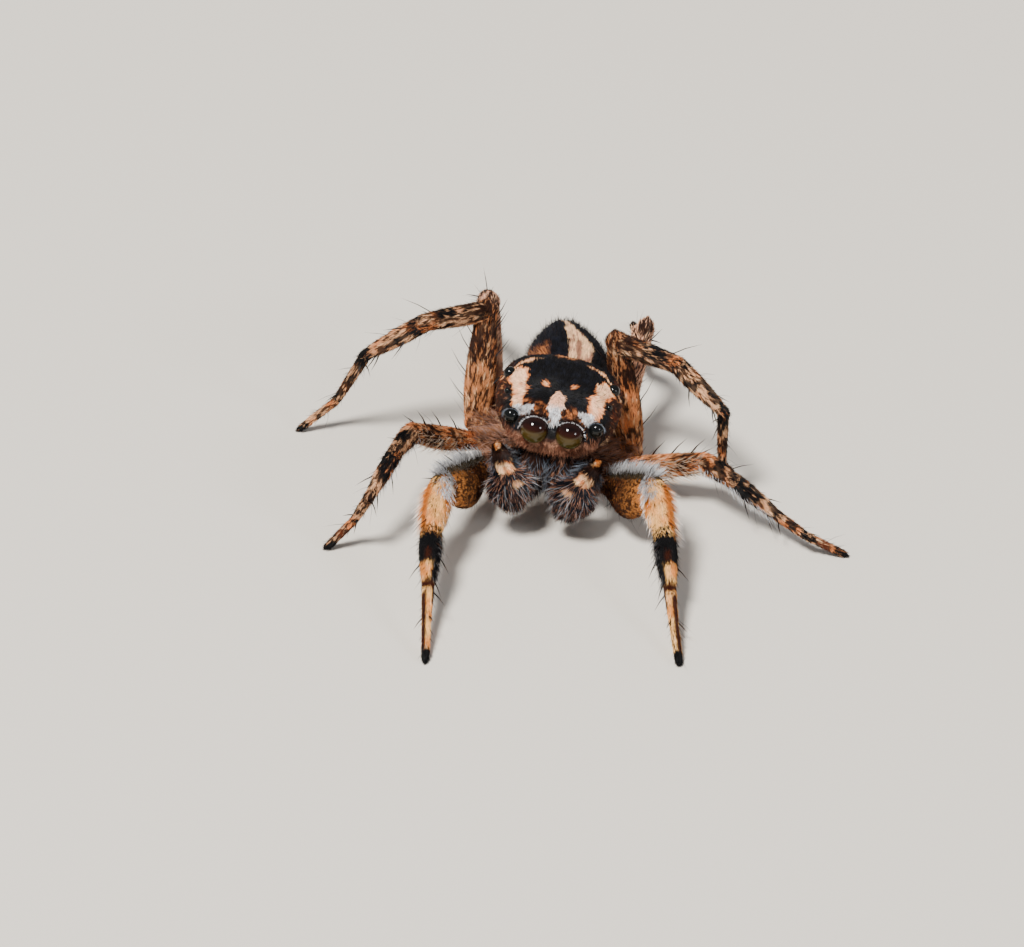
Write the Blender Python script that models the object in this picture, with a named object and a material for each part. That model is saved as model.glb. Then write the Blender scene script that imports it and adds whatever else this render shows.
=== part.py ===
"""A male paradise jumping spider (Habronattus georgiensis), standing, at life size.

The animal faces -Y and stands on the plane Z = 0. Its left side is at +X.
Sizes are written in millimetres, and each finished mesh is scaled to metres once.
"""
import math
import random

import bmesh
import bpy
from mathutils import Matrix, Vector

TO_METRES = 0.001
COLLECTION_NAME = "georgia_paradise_spider"
SIDE_SIGN = {"r": -1, "l": 1}
SEED = 17

# Space kept between two pieces that meet, in mm: a tenth of a leg's thickness
GAP = 0.04

# The head frame: its origin is midway between the two big front eyes, y runs back, z up
HEAD_AT = Vector((-0.21, -0.69, 1.45))
HEAD_YAW = math.radians(-6.8)
HEAD_ROLL = math.radians(7.4)
HEAD_NOSE_UP = math.radians(1.0)

# Carapace sections: distance back, half width, top, bottom
CARAPACE = (
    (-0.10, 0.34, 0.08, -0.26),
    (-0.06, 0.50, 0.19, -0.33),
    (0.02, 0.61, 0.25, -0.38),
    (0.18, 0.70, 0.31, -0.41),
    (0.40, 0.78, 0.36, -0.47),
    (0.65, 0.84, 0.41, -0.60),
    (0.92, 0.875, 0.43, -0.66),
    (1.15, 0.86, 0.41, -0.68),
    (1.35, 0.81, 0.34, -0.69),
    (1.52, 0.73, 0.22, -0.70),
    (1.68, 0.62, 0.05, -0.70),
    (1.84, 0.49, -0.18, -0.73),
    (1.98, 0.35, -0.40, -0.76),
    (2.06, 0.22, -0.55, -0.78),
)
CARAPACE_SIDES = 28
CARAPACE_SQUARENESS = 2.4

# Sternum: centre, half sizes
STERNUM_AT = Vector((0.0, 1.02, -0.78))
STERNUM_HALF = Vector((0.40, 0.74, 0.24))

# Eyes: how far out, back and up, and the radius
EYES = {
    "eye_front_middle": (0.238, -0.03, 0.035, 0.198),
    "eye_front_side": (0.580, 0.07, 0.120, 0.105),
    "eye_small": (0.690, 0.55, 0.17, 0.045),
    "eye_rear": (0.705, 0.94, 0.190, 0.088),
}
EYE_SEGMENTS = {
    "eye_front_middle": (16, 10),
    "eye_front_side": (12, 8),
    "eye_small": (8, 6),
    "eye_rear": (12, 6),
}

# The beard: locks that hang from the face's lower edge over the chelicerae
BEARD_LOCKS = 9
BEARD_HALF_WIDTH = 0.40
BEARD_LENGTH = 0.15
BEARD_LEAN = 62

# Legs: where each coxa ends in the head frame, counted from the front
COXA_END = {
    1: Vector((0.80, 0.42, -0.97)),
    2: Vector((1.00, 0.87, -0.95)),
    3: Vector((1.06, 1.28, -0.95)),
    4: Vector((0.86, 1.66, -0.95)),
}
COXA_INNER_SHARE = 0.30
COXA_INNER_RISE = 0.06
COXA_DRIFT = 0.25
COXA_RADIUS = 0.165
COXA_SWELL = 0.01
COXA_FLATNESS = 0.95
COXA_SIDES = 10
COXA_STATIONS = 3

SEGMENTS = ("femur", "patella", "tibia", "metatarsus", "tarsus")

# Segment lengths of each pair of legs, joint to joint
LEG_LENGTHS = {
    1: (1.39, 0.77, 0.89, 0.60, 0.52),
    2: (1.19, 0.57, 0.78, 0.57, 0.53),
    3: (1.53, 0.94, 1.00, 1.01, 0.65),
    4: (1.46, 0.52, 0.80, 0.84, 0.52),
}

# Half heights at the joints: root, knee, patella end, tibia end, metatarsus end, foot
LEG_JOINT_RADII = {
    1: (0.150, 0.190, 0.170, 0.105, 0.085, 0.075),
    2: (0.130, 0.150, 0.130, 0.095, 0.080, 0.075),
    3: (0.165, 0.160, 0.140, 0.100, 0.080, 0.070),
    4: (0.130, 0.150, 0.130, 0.095, 0.080, 0.070),
}

# How far each segment swells past the line between its two joints
SEGMENT_SWELL = {
    1: (0.165, 0.040, 0.035, 0.005, 0.005),
    2: (0.045, 0.020, 0.022, 0.005, 0.005),
    3: (0.065, 0.015, 0.022, 0.005, 0.005),
    4: (0.050, 0.015, 0.020, 0.005, 0.005),
}

# How far the belly of each pair's femur hangs, and its thickness across against its height
FEMUR_SAG = {1: 0.125, 2: 0.02, 3: 0.01, 4: 0.02}
FEMUR_FLATNESS = {1: 0.62, 2: 0.85, 3: 0.85, 4: 0.80}

# How far along a segment it is thickest
FEMUR_PEAK = {1: 0.60, 2: 0.45, 3: 0.40, 4: 0.45}
USUAL_PEAK = 0.45

# Thickness across against height, from the patella to the tarsus
SEGMENT_FLATNESS = (0.90, 0.92, 1.0, 1.0)

# Sides round each segment and rings along it, from the femur to the tarsus
SEGMENT_SIDES = (12, 10, 10, 8, 8)
SEGMENT_STATIONS = (6, 4, 4, 3, 3)

# Where the round end of a limb has its rings, in degrees past the joint
END_RINGS = (30, 66)

# The stance: heading from straight ahead towards the leg's own side, and lift,
# in degrees, for each segment; the tarsus has a heading alone, and reaches the floor
STANCE = {
    ("r", 1): ((28, 19), (10, -18), (3, -18), (2, -23), (2,)),
    ("l", 1): ((32, 28), (10, -17), (5, -19), (6, -26), (7,)),
    ("r", 2): ((56, 28), (21, 7), (29, -22), (122, -63), (85,)),
    ("l", 2): ((72, 16), (38, 4), (62, -28), (47, -9), (82,)),
    ("r", 3): ((-171, 52), (61, 8), (94, -35), (116, -63), (87,)),
    ("l", 3): ((-159, 69), (60, -3), (39, -14), (-178, -80), (165,)),
    ("r", 4): ((178, 48), (172, -25), (175, -42), (178, -48), (177,)),
    ("l", 4): ((159, 48), (-178, -45), (-176, -55), (-176, -22), (-176,)),
}
FOOT_HEIGHT = 0.055

# Spines: place along the segment, degrees from its back towards the leg's front, length
SPINES = {
    "femur": ((0.36, 0, 0.24), (0.60, 0, 0.27), (0.84, 8, 0.28), (0.88, 55, 0.22), (0.88, -50, 0.22)),
    "patella": ((0.88, 0, 0.40),),
    "tibia": ((0.30, 65, 0.24), (0.62, -65, 0.24), (0.40, 155, 0.24), (0.86, 160, 0.22), (0.84, -160, 0.22)),
    "metatarsus": ((0.16, 130, 0.22), (0.18, -130, 0.22), (0.86, 70, 0.16), (0.86, -70, 0.16)),
    "tarsus": (),
}
HIND_FEMUR_SPINES = ((0.22, 180, 0.32), (0.44, 172, 0.34), (0.64, 180, 0.34), (0.78, 170, 0.34))
SPINE_HALF_WIDTH = 0.020
SPINE_LEAN = 42
SPINE_BEND = 0.22

# Fringes of white locks: degrees from the back, first and last place along, number, length
LEG_FRINGES = {
    (1, "femur"): ((0, 0.14, 0.92, 10, 0.19), (48, 0.24, 0.84, 5, 0.15)),
    (1, "patella"): ((24, 0.12, 0.84, 4, 0.19), (-40, 0.20, 0.80, 3, 0.16)),
    (1, "tibia"): ((10, 0.15, 0.80, 4, 0.13),),
    (2, "femur"): ((0, 0.20, 0.90, 5, 0.14),),
    (2, "patella"): ((12, 0.20, 0.80, 3, 0.13),),
}
LOCK_HALF_SIZES = (0.050, 0.022)
LOCK_LEAN = 48
LOCK_BEND = 0.35

# How deep a spine or lock is rooted
ROOT_DEPTH = 0.045

# Outlines of a spine and of a lock: share of the length, share of the half width
SPINE_PROFILE = ((0.0, 1.0), (0.55, 0.66))
LOCK_PROFILE = ((0.0, 0.75), (0.38, 1.0), (0.74, 0.62))

# Palps in the head frame: base, knee, end of the tibia, tip of the tarsus
PALP_COXA_START = Vector((0.42, 0.62, -0.82))
PALP_COXA_RADIUS = 0.095
PALP_JOINTS = (
    Vector((0.53, 0.24, -0.66)),
    Vector((0.66, -0.24, -0.27)),
    Vector((0.48, -0.40, -0.53)),
    Vector((0.37, -0.37, -0.93)),
)
PALP_RADII = (0.10, 0.14, 0.17, 0.17)
PALP_SWELL = (0.01, 0.03, 0.09)
PALP_PIECES = ("femur", "tibia", "tarsus")
PALP_FLATNESS = (0.95, 0.95, 1.25)
PALP_SIDES = 12
PALP_STATIONS = 4

# The way that the back of a palp faces
PALP_BACK = Vector((0, -1, 0.4))

# Bristles of the palps, in the same terms as the fringes of the legs
PALP_FRINGES = {
    "femur": ((0, 0.45, 0.85, 2, 0.15), (70, 0.60, 0.60, 1, 0.14), (-70, 0.60, 0.60, 1, 0.14)),
    "tibia": ((0, 0.50, 0.50, 1, 0.17), (60, 0.50, 0.50, 1, 0.20), (-60, 0.50, 0.50, 1, 0.20)),
    "tarsus": (
        (0, 0.20, 0.85, 3, 0.16), (45, 0.10, 0.78, 3, 0.19), (-45, 0.10, 0.78, 3, 0.19),
        (90, 0.20, 0.95, 4, 0.19), (-90, 0.20, 0.95, 4, 0.19),
        (135, 0.60, 0.90, 2, 0.15), (-135, 0.60, 0.90, 2, 0.15), (180, 0.95, 0.95, 1, 0.13),
    ),
}

# Chelicerae in the head frame: sections of height, half width, front, back
CHELICERA_OUT = 0.185
CHELICERA = (
    (-0.43, 0.165, -0.04, 0.30),
    (-0.62, 0.180, -0.13, 0.28),
    (-0.85, 0.165, -0.14, 0.20),
    (-1.03, 0.120, -0.10, 0.10),
    (-1.12, 0.060, -0.04, 0.04),
)
CHELICERA_SIDES = 12
CHELICERA_SQUARENESS = 2.2

# Abdomen: its own frame starts at the pedicel and runs back
ABDOMEN_AT = Vector((0.04, 1.50, 0.68))
ABDOMEN_YAW = math.radians(3.0)
ABDOMEN_ROLL = math.radians(14.0)
ABDOMEN_TAIL_DOWN = math.radians(9.0)
ABDOMEN = (
    (0.03, 0.18, 0.22, -0.08),
    (0.12, 0.36, 0.32, -0.24),
    (0.30, 0.52, 0.42, -0.37),
    (0.52, 0.59, 0.47, -0.43),
    (0.78, 0.57, 0.47, -0.45),
    (1.06, 0.48, 0.43, -0.43),
    (1.34, 0.36, 0.35, -0.37),
    (1.60, 0.24, 0.25, -0.29),
    (1.80, 0.15, 0.15, -0.20),
)
ABDOMEN_SIDES = 24
ABDOMEN_SQUARENESS = 2.1
SPINNERET_START = 1.80
SPINNERET_LENGTH = 0.22
SPINNERET_RADIUS = 0.13
SPINNERET_TIP_RADIUS = 0.06
SPINNERET_DROP = 0.03
SPINNERET_FLATNESS = 1.1

# The pedicel is thinner where it leaves the head
PEDICEL_RADII = (0.078, 0.13)
TAIL_SWELL = 0.01

UP = Vector((0, 0, 1))


def make_collection():
    collection = bpy.data.collections.new(COLLECTION_NAME)
    bpy.context.scene.collection.children.link(collection)
    return collection


def make_material(name, colour, roughness):
    material = bpy.data.materials.new(name)
    material.use_nodes = True
    shader = material.node_tree.nodes["Principled BSDF"]
    shader.inputs["Base Color"].default_value = (*colour, 1.0)
    shader.inputs["Roughness"].default_value = roughness
    return material


def superellipse_ring(half_width, top, bottom, sides, squareness):
    """Points (across, up) round one body section."""
    middle = (top + bottom) / 2
    half_height = (top - bottom) / 2
    points = []
    for index in range(sides):
        angle = 2 * math.pi * index / sides
        cosine = math.cos(angle)
        sine = math.sin(angle)
        across = math.copysign(abs(cosine) ** (2 / squareness), cosine) * half_width
        up = math.copysign(abs(sine) ** (2 / squareness), sine) * half_height
        points.append((across, middle + up))
    return points


def loft(rings, tip=None):
    """Join rings of equal point counts into one closed surface, flat or pointed at its end."""
    bm = bmesh.new()
    rows = [[bm.verts.new(point) for point in ring] for ring in rings]
    count = len(rows[0])
    for near, far in zip(rows, rows[1:]):
        for index in range(count):
            after = (index + 1) % count
            bm.faces.new((near[index], near[after], far[after], far[index]))
    bm.faces.new(list(reversed(rows[0])))
    if tip is None:
        bm.faces.new(rows[-1])
    else:
        point = bm.verts.new(tip)
        for index in range(count):
            bm.faces.new((rows[-1][index], rows[-1][(index + 1) % count], point))
    bmesh.ops.recalc_face_normals(bm, faces=bm.faces)
    return bm


def cut_flat(bm, point, outward):
    """Cut the mesh at a plane, drop what lies outward of it and close the cut."""
    geometry = bm.verts[:] + bm.edges[:] + bm.faces[:]
    bmesh.ops.bisect_plane(
        bm, geom=geometry, dist=1e-5, plane_co=point, plane_no=outward, clear_outer=True
    )
    rim = [edge for edge in bm.edges if edge.is_boundary]
    if rim:
        bmesh.ops.edgeloop_fill(bm, edges=rim)
    bmesh.ops.recalc_face_normals(bm, faces=bm.faces)


def add_object(name, bm, material, collection):
    """Scale a finished mesh to metres and keep it as one named object."""
    bmesh.ops.transform(bm, matrix=Matrix.Scale(TO_METRES, 4), verts=bm.verts)
    mesh = bpy.data.meshes.new(name)
    bm.to_mesh(mesh)
    bm.free()
    mesh.shade_smooth()
    mesh.materials.append(material)
    piece = bpy.data.objects.new(name, mesh)
    collection.objects.link(piece)
    return piece


def working_object(name, bm, collection):
    """An unscaled object in mm, for joining and cutting."""
    mesh = bpy.data.meshes.new(name)
    bm.to_mesh(mesh)
    bm.free()
    piece = bpy.data.objects.new(name, mesh)
    collection.objects.link(piece)
    return piece


def keep_largest_surface(bm):
    """Remove every connected surface but the one with the most faces."""
    unseen = set(bm.faces)
    shells = []
    while unseen:
        start = unseen.pop()
        shell = [start]
        front = [start]
        while front:
            face = front.pop()
            for edge in face.edges:
                for other in edge.link_faces:
                    if other in unseen:
                        unseen.discard(other)
                        shell.append(other)
                        front.append(other)
        shells.append(shell)
    largest = max(shells, key=len)
    for shell in shells:
        if shell is not largest:
            bmesh.ops.delete(bm, geom=shell, context="FACES")


def combine(base, others, operation):
    """Join closed meshes to the base mesh, or cut them from it, in one Boolean."""
    if not others:
        return base
    scratch = bpy.data.collections.new("cutters")
    bpy.context.scene.collection.children.link(scratch)
    holder = bpy.data.collections.new("base")
    bpy.context.scene.collection.children.link(holder)
    base_object = working_object("base", base, holder)
    for other in others:
        working_object("operand", other, scratch)
    modifier = base_object.modifiers.new("combine", "BOOLEAN")
    modifier.operation = operation
    modifier.operand_type = "COLLECTION"
    modifier.collection = scratch
    modifier.solver = "EXACT"
    bpy.context.view_layer.update()
    depsgraph = bpy.context.evaluated_depsgraph_get()
    result = bmesh.new()
    result.from_mesh(base_object.evaluated_get(depsgraph).to_mesh())
    for group in (scratch, holder):
        for piece in list(group.objects):
            bpy.data.objects.remove(piece)
        bpy.data.collections.remove(group)
    keep_largest_surface(result)
    return result


def head_matrix():
    turn = Matrix.Rotation(HEAD_YAW, 4, "Z")
    lean = Matrix.Rotation(HEAD_ROLL, 4, "Y")
    raise_face = Matrix.Rotation(-HEAD_NOSE_UP, 4, "X")
    return Matrix.Translation(HEAD_AT) @ turn @ lean @ raise_face


def abdomen_matrix():
    turn = Matrix.Rotation(ABDOMEN_YAW, 4, "Z")
    lean = Matrix.Rotation(ABDOMEN_ROLL, 4, "Y")
    lower_tail = Matrix.Rotation(-ABDOMEN_TAIL_DOWN, 4, "X")
    return Matrix.Translation(ABDOMEN_AT) @ turn @ lower_tail @ lean


HEAD = head_matrix()
ABDOMEN_FRAME = abdomen_matrix()


def on_side(point, side):
    """Mirror a head frame point to the animal's left or right."""
    return Vector((SIDE_SIGN[side] * point.x, point.y, point.z))


def body_loft(sections, sides, squareness, matrix):
    """Loft body sections along the frame's own y."""
    rings = []
    for back, half_width, top, bottom in sections:
        ring = superellipse_ring(half_width, top, bottom, sides, squareness)
        rings.append([matrix @ Vector((across, back, up)) for across, up in ring])
    return loft(rings)


def ball(centre, radius, segments, rings):
    bm = bmesh.new()
    bmesh.ops.create_uvsphere(bm, u_segments=segments, v_segments=rings, radius=radius)
    bmesh.ops.translate(bm, vec=centre, verts=bm.verts)
    return bm


class Limb:
    """One segment from joint to joint: an oval tube that swells between its ends."""

    def __init__(self, start, end, radii, swell, flatness, dorsal, front_sign, sag=0.0, peak=USUAL_PEAK):
        self.start = start
        self.end = end
        self.length = (end - start).length
        self.axis = (end - start).normalized()
        self.up = (dorsal - self.axis * dorsal.dot(self.axis)).normalized()
        self.front = self.axis.cross(self.up) * front_sign
        self.radii = radii
        self.swell = swell
        self.flatness = flatness
        self.sag = sag
        self.peak_power = math.log(0.5) / math.log(peak)

    def hump(self, share):
        """How far the swelling has grown at a place: none at the joints, full at the peak."""
        return math.sin(math.pi * share ** self.peak_power)

    def centre(self, along):
        """A point of the middle line, which hangs down between the joints."""
        share = min(max(along / self.length, 0.0), 1.0)
        return self.start + self.axis * along - self.up * (self.sag * self.hump(share))

    def half_height(self, share):
        between = self.radii[0] + (self.radii[1] - self.radii[0]) * share
        return between + self.swell * self.hump(share)

    def offset(self, radius, angle):
        """The way from the segment's middle line to its surface."""
        to_front = self.front * (radius * self.flatness * math.sin(angle))
        return to_front + self.up * (radius * math.cos(angle))

    def mesh(self, sides, stations):
        """The closed tube, with a round end past each joint."""
        rows = []
        for lean in reversed(END_RINGS):
            angle = math.radians(lean)
            rows.append((-self.radii[0] * math.sin(angle), self.radii[0] * math.cos(angle)))
        for step in range(stations):
            share = step / (stations - 1)
            rows.append((self.length * share, self.half_height(share)))
        for lean in END_RINGS:
            angle = math.radians(lean)
            rows.append((self.length + self.radii[1] * math.sin(angle), self.radii[1] * math.cos(angle)))
        rings = []
        for along, radius in rows:
            centre = self.centre(along)
            turns = [2 * math.pi * index / sides for index in range(sides)]
            rings.append([centre + self.offset(radius, angle) for angle in turns])
        return loft(rings)

    def root(self, share, degrees):
        """A point on the surface, and the way out of it."""
        angle = math.radians(degrees)
        centre = self.centre(self.length * share)
        outward = self.up * math.cos(angle) + self.front * math.sin(angle)
        return centre + self.offset(self.half_height(share), angle), outward


def prong(root, outward, towards, lean, bend, length, half_sizes, profile):
    """A spine or a lock: four sides along a line that bends over, ending in a point."""
    angle = math.radians(lean)
    heading = (outward * math.cos(angle) + towards * math.sin(angle)).normalized()
    across = heading.cross(outward).normalized()
    base = root - heading * ROOT_DEPTH
    reach = length + ROOT_DEPTH
    rings = []
    for share, width in profile:
        centre = base + heading * (reach * share) + towards * (reach * bend * share * share)
        thick = (heading + towards * (2 * bend * share)).normalized().cross(across)
        wide_half = across * (half_sizes[0] * width)
        thin_half = thick * (half_sizes[1] * width)
        rings.append([centre + wide_half, centre + thin_half, centre - wide_half, centre - thin_half])
    tip = base + heading * reach + towards * (reach * bend)
    return loft(rings, tip)


def spines_on(limb, rows, chance):
    prongs = []
    for share, degrees, length in rows:
        root, outward = limb.root(share + chance.uniform(-0.02, 0.02), degrees + chance.uniform(-6, 6))
        size = length * chance.uniform(0.92, 1.08)
        half_sizes = (SPINE_HALF_WIDTH, SPINE_HALF_WIDTH)
        prongs.append(
            prong(root, outward, limb.axis, SPINE_LEAN, SPINE_BEND, size, half_sizes, SPINE_PROFILE)
        )
    return prongs


def locks_on(limb, rows, chance):
    prongs = []
    for degrees, first, last, number, length in rows:
        for index in range(number):
            share = first + (last - first) * index / max(number - 1, 1)
            root, outward = limb.root(share, degrees + chance.uniform(-7, 7))
            size = length * chance.uniform(0.85, 1.15)
            lean = LOCK_LEAN + chance.uniform(-6, 6)
            prongs.append(
                prong(root, outward, limb.axis, lean, LOCK_BEND, size, LOCK_HALF_SIZES, LOCK_PROFILE)
            )
    return prongs


def joint_plane(before, after):
    """The direction halfway between two segments that meet."""
    return (before.normalized() + after.normalized()).normalized()


def leg_points(side, pair):
    """The six joints of a leg, from the coxa's end to the foot."""
    sign = SIDE_SIGN[side]
    points = [HEAD @ on_side(COXA_END[pair], side)]
    for length, angles in zip(LEG_LENGTHS[pair], STANCE[(side, pair)]):
        heading = math.radians(angles[0])
        if len(angles) == 2:
            lift = math.radians(angles[1])
        else:
            lift = -math.asin((points[-1].z - FOOT_HEIGHT) / length)
        flat = math.cos(lift)
        step = Vector((sign * math.sin(heading) * flat, -math.cos(heading) * flat, math.sin(lift)))
        points.append(points[-1] + step * length)
    return points


def coxa_axis(side, pair):
    """The line of a coxa, from under the sternum's edge to its end."""
    end = COXA_END[pair]
    inner_back = end.y + (STERNUM_AT.y - end.y) * COXA_DRIFT
    inner = Vector((end.x * COXA_INNER_SHARE, inner_back, end.z + COXA_INNER_RISE))
    return HEAD @ on_side(inner, side), HEAD @ on_side(end, side)


def build_leg(side, pair, material, collection, chance):
    points = leg_points(side, pair)
    coxa_start, coxa_end = coxa_axis(side, pair)
    reach = points[5] - points[1]
    plane = (points[1] - points[0]).cross(reach).normalized()
    for number, segment in enumerate(SEGMENTS):
        start, end = points[number], points[number + 1]
        axis = end - start
        radii = LEG_JOINT_RADII[pair][number:number + 2]
        flatness = SEGMENT_FLATNESS[number - 1] if number else FEMUR_FLATNESS[pair]
        sag = 0.0 if number else FEMUR_SAG[pair]
        peak = USUAL_PEAK if number else FEMUR_PEAK[pair]
        limb = Limb(
            start, end, radii, SEGMENT_SWELL[pair][number], flatness, axis.cross(plane),
            SIDE_SIGN[side], sag, peak,
        )
        bm = limb.mesh(SEGMENT_SIDES[number], SEGMENT_STATIONS[number])
        before = start - points[number - 1] if number else coxa_end - coxa_start
        normal = joint_plane(before, axis)
        cut_flat(bm, start + normal * (GAP / 2), -normal)
        if number < 4:
            normal = joint_plane(axis, points[number + 2] - end)
            cut_flat(bm, end - normal * (GAP / 2), normal)
        else:
            cut_flat(bm, Vector((0, 0, 0)), -UP)
        spines = SPINES[segment]
        if segment == "femur" and pair > 2:
            spines = spines + HIND_FEMUR_SPINES
        prongs = spines_on(limb, spines, chance)
        prongs += locks_on(limb, LEG_FRINGES.get((pair, segment), ()), chance)
        bm = combine(bm, prongs, "UNION")
        add_object(f"leg_{side}{pair}_{segment}", bm, material, collection)


def build_leg_coxa(side, pair):
    start, end = coxa_axis(side, pair)
    radii = (COXA_RADIUS, LEG_JOINT_RADII[pair][0])
    limb = Limb(start, end, radii, COXA_SWELL, COXA_FLATNESS, UP, SIDE_SIGN[side])
    coxa = limb.mesh(COXA_SIDES, COXA_STATIONS)
    knee = leg_points(side, pair)[1]
    normal = joint_plane(end - start, knee - end)
    cut_flat(coxa, end - normal * (GAP / 2), normal)
    return coxa


def build_palp_coxa(side):
    """The root of a palp, under the front of the head beside the chelicera."""
    start = HEAD @ on_side(PALP_COXA_START, side)
    end = HEAD @ on_side(PALP_JOINTS[0], side)
    knee = HEAD @ on_side(PALP_JOINTS[1], side)
    radii = (PALP_COXA_RADIUS, PALP_RADII[0])
    limb = Limb(start, end, radii, COXA_SWELL, COXA_FLATNESS, UP, SIDE_SIGN[side])
    coxa = limb.mesh(COXA_SIDES, COXA_STATIONS)
    normal = joint_plane(end - start, knee - end)
    cut_flat(coxa, end - normal * (GAP / 2), normal)
    return coxa


def build_beard(chance):
    """The locks along the lower edge of the face, in one shallow arc."""
    back, half_width, top, bottom = CARAPACE[1]
    middle = (top + bottom) / 2
    power = CARAPACE_SQUARENESS
    turn = HEAD.to_3x3()
    locks = []
    for index in range(BEARD_LOCKS):
        across = BEARD_HALF_WIDTH * (2 * index / (BEARD_LOCKS - 1) - 1)
        drop = (middle - bottom) * (1 - abs(across / half_width) ** power) ** (1 / power)
        root = HEAD @ Vector((across, back, middle - drop * 0.9))
        outward = (turn @ Vector((across * 0.3, -1.0, -0.4))).normalized()
        down = (turn @ Vector((across * 0.3, 0.0, -1.0))).normalized()
        size = BEARD_LENGTH * chance.uniform(0.85, 1.15)
        locks.append(
            prong(root, outward, down, BEARD_LEAN, LOCK_BEND, size, LOCK_HALF_SIZES, LOCK_PROFILE)
        )
    return locks


def build_cephalothorax(material, collection, chance):
    base = body_loft(CARAPACE, CARAPACE_SIDES, CARAPACE_SQUARENESS, HEAD)
    sternum = ball(Vector((0, 0, 0)), 1.0, 16, 8)
    place = HEAD @ Matrix.Translation(STERNUM_AT) @ Matrix.Diagonal((*STERNUM_HALF, 1.0))
    bmesh.ops.transform(sternum, matrix=place, verts=sternum.verts)
    additions = [sternum]
    for side in SIDE_SIGN:
        for pair in COXA_END:
            additions.append(build_leg_coxa(side, pair))
        additions.append(build_palp_coxa(side))
    body = combine(base, additions + build_beard(chance), "UNION")
    sockets = []
    for name, (out, back, up, radius) in EYES.items():
        for side in SIDE_SIGN:
            centre = HEAD @ on_side(Vector((out, back, up)), side)
            sockets.append(ball(centre, radius + GAP, *EYE_SEGMENTS[name]))
    body = combine(body, sockets, "DIFFERENCE")
    add_object("cephalothorax", body, material, collection)


def build_eyes(material, collection):
    for name, (out, back, up, radius) in EYES.items():
        for side in SIDE_SIGN:
            centre = HEAD @ on_side(Vector((out, back, up)), side)
            add_object(f"{name}_{side}", ball(centre, radius, *EYE_SEGMENTS[name]), material, collection)


def build_chelicerae(material, collection):
    for side in SIDE_SIGN:
        rings = []
        for height, half_width, front, back in CHELICERA:
            ring = superellipse_ring(half_width, back, front, CHELICERA_SIDES, CHELICERA_SQUARENESS)
            points = []
            for across, depth in ring:
                local = Vector((CHELICERA_OUT + across, depth, height - GAP))
                points.append(HEAD @ on_side(local, side))
            rings.append(points)
        add_object(f"chelicera_{side}", loft(rings), material, collection)


def build_palps(material, collection, chance):
    for side in SIDE_SIGN:
        coxa_start = HEAD @ on_side(PALP_COXA_START, side)
        points = [HEAD @ on_side(joint, side) for joint in PALP_JOINTS]
        for number, segment in enumerate(PALP_PIECES):
            start, end = points[number], points[number + 1]
            limb = Limb(
                start, end, PALP_RADII[number:number + 2], PALP_SWELL[number], PALP_FLATNESS[number],
                PALP_BACK, SIDE_SIGN[side],
            )
            bm = limb.mesh(PALP_SIDES, PALP_STATIONS)
            before = start - points[number - 1] if number else start - coxa_start
            normal = joint_plane(before, limb.axis)
            cut_flat(bm, start + normal * (GAP / 2), -normal)
            if number < 2:
                normal = joint_plane(limb.axis, points[number + 2] - end)
                cut_flat(bm, end - normal * (GAP / 2), normal)
            bm = combine(bm, locks_on(limb, PALP_FRINGES[segment], chance), "UNION")
            add_object(f"palp_{side}_{segment}", bm, material, collection)


def build_abdomen(material, collection):
    bm = body_loft(ABDOMEN, ABDOMEN_SIDES, ABDOMEN_SQUARENESS, ABDOMEN_FRAME)
    add_object("abdomen", bm, material, collection)
    front_middle = (ABDOMEN[0][2] + ABDOMEN[0][3]) / 2
    front = ABDOMEN_FRAME @ Vector((0, ABDOMEN[0][0] - GAP, front_middle))
    head_middle = (CARAPACE[-1][2] + CARAPACE[-1][3]) / 2
    back_of_head = HEAD @ Vector((0, CARAPACE[-1][0] + GAP, head_middle))
    head_back = (HEAD.to_3x3() @ Vector((0, 1, 0))).normalized()
    abdomen_back = (ABDOMEN_FRAME.to_3x3() @ Vector((0, 1, 0))).normalized()
    pedicel = Limb(back_of_head, front, PEDICEL_RADII, TAIL_SWELL, 1.0, UP, 1).mesh(12, 3)
    cut_flat(pedicel, back_of_head, -head_back)
    cut_flat(pedicel, front, abdomen_back)
    add_object("pedicel", pedicel, material, collection)
    tail_middle = (ABDOMEN[-1][2] + ABDOMEN[-1][3]) / 2
    start = ABDOMEN_FRAME @ Vector((0, SPINNERET_START + GAP, tail_middle))
    tip = Vector((0, SPINNERET_START + SPINNERET_LENGTH, tail_middle - SPINNERET_DROP))
    radii = (SPINNERET_RADIUS, SPINNERET_TIP_RADIUS)
    limb = Limb(start, ABDOMEN_FRAME @ tip, radii, TAIL_SWELL, SPINNERET_FLATNESS, UP, 1)
    spinnerets = limb.mesh(12, 4)
    cut_flat(spinnerets, start, -abdomen_back)
    add_object("spinnerets", spinnerets, material, collection)


def main():
    for old in list(bpy.data.objects):
        bpy.data.objects.remove(old)
    chance = random.Random(SEED)
    collection = make_collection()
    shell = make_material("dark_shell", (0.05, 0.035, 0.025), 0.6)
    black_fur = make_material("black_fur", (0.02, 0.02, 0.025), 0.8)
    tan_fur = make_material("tan_fur", (0.55, 0.33, 0.18), 0.75)
    cream_fur = make_material("cream_fur", (0.75, 0.62, 0.48), 0.75)
    lens = make_material("lens", (0.04, 0.03, 0.01), 0.05)
    build_cephalothorax(shell, collection, chance)
    build_eyes(lens, collection)
    build_chelicerae(cream_fur, collection)
    build_palps(black_fur, collection, chance)
    build_abdomen(black_fur, collection)
    for side, pair in STANCE:
        build_leg(side, pair, tan_fur, collection, chance)


main()
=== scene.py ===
"""The looks of a male paradise jumping spider: one skin, its eyes, and a coat of mesh hair.

Shapes are worked out in millimetres, in the frame of the CAD part, and scaled to metres once.
"""
import math

import bpy
import numpy as np
from mathutils import Matrix, Vector
from mathutils.bvhtree import BVHTree
from mathutils.kdtree import KDTree

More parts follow.
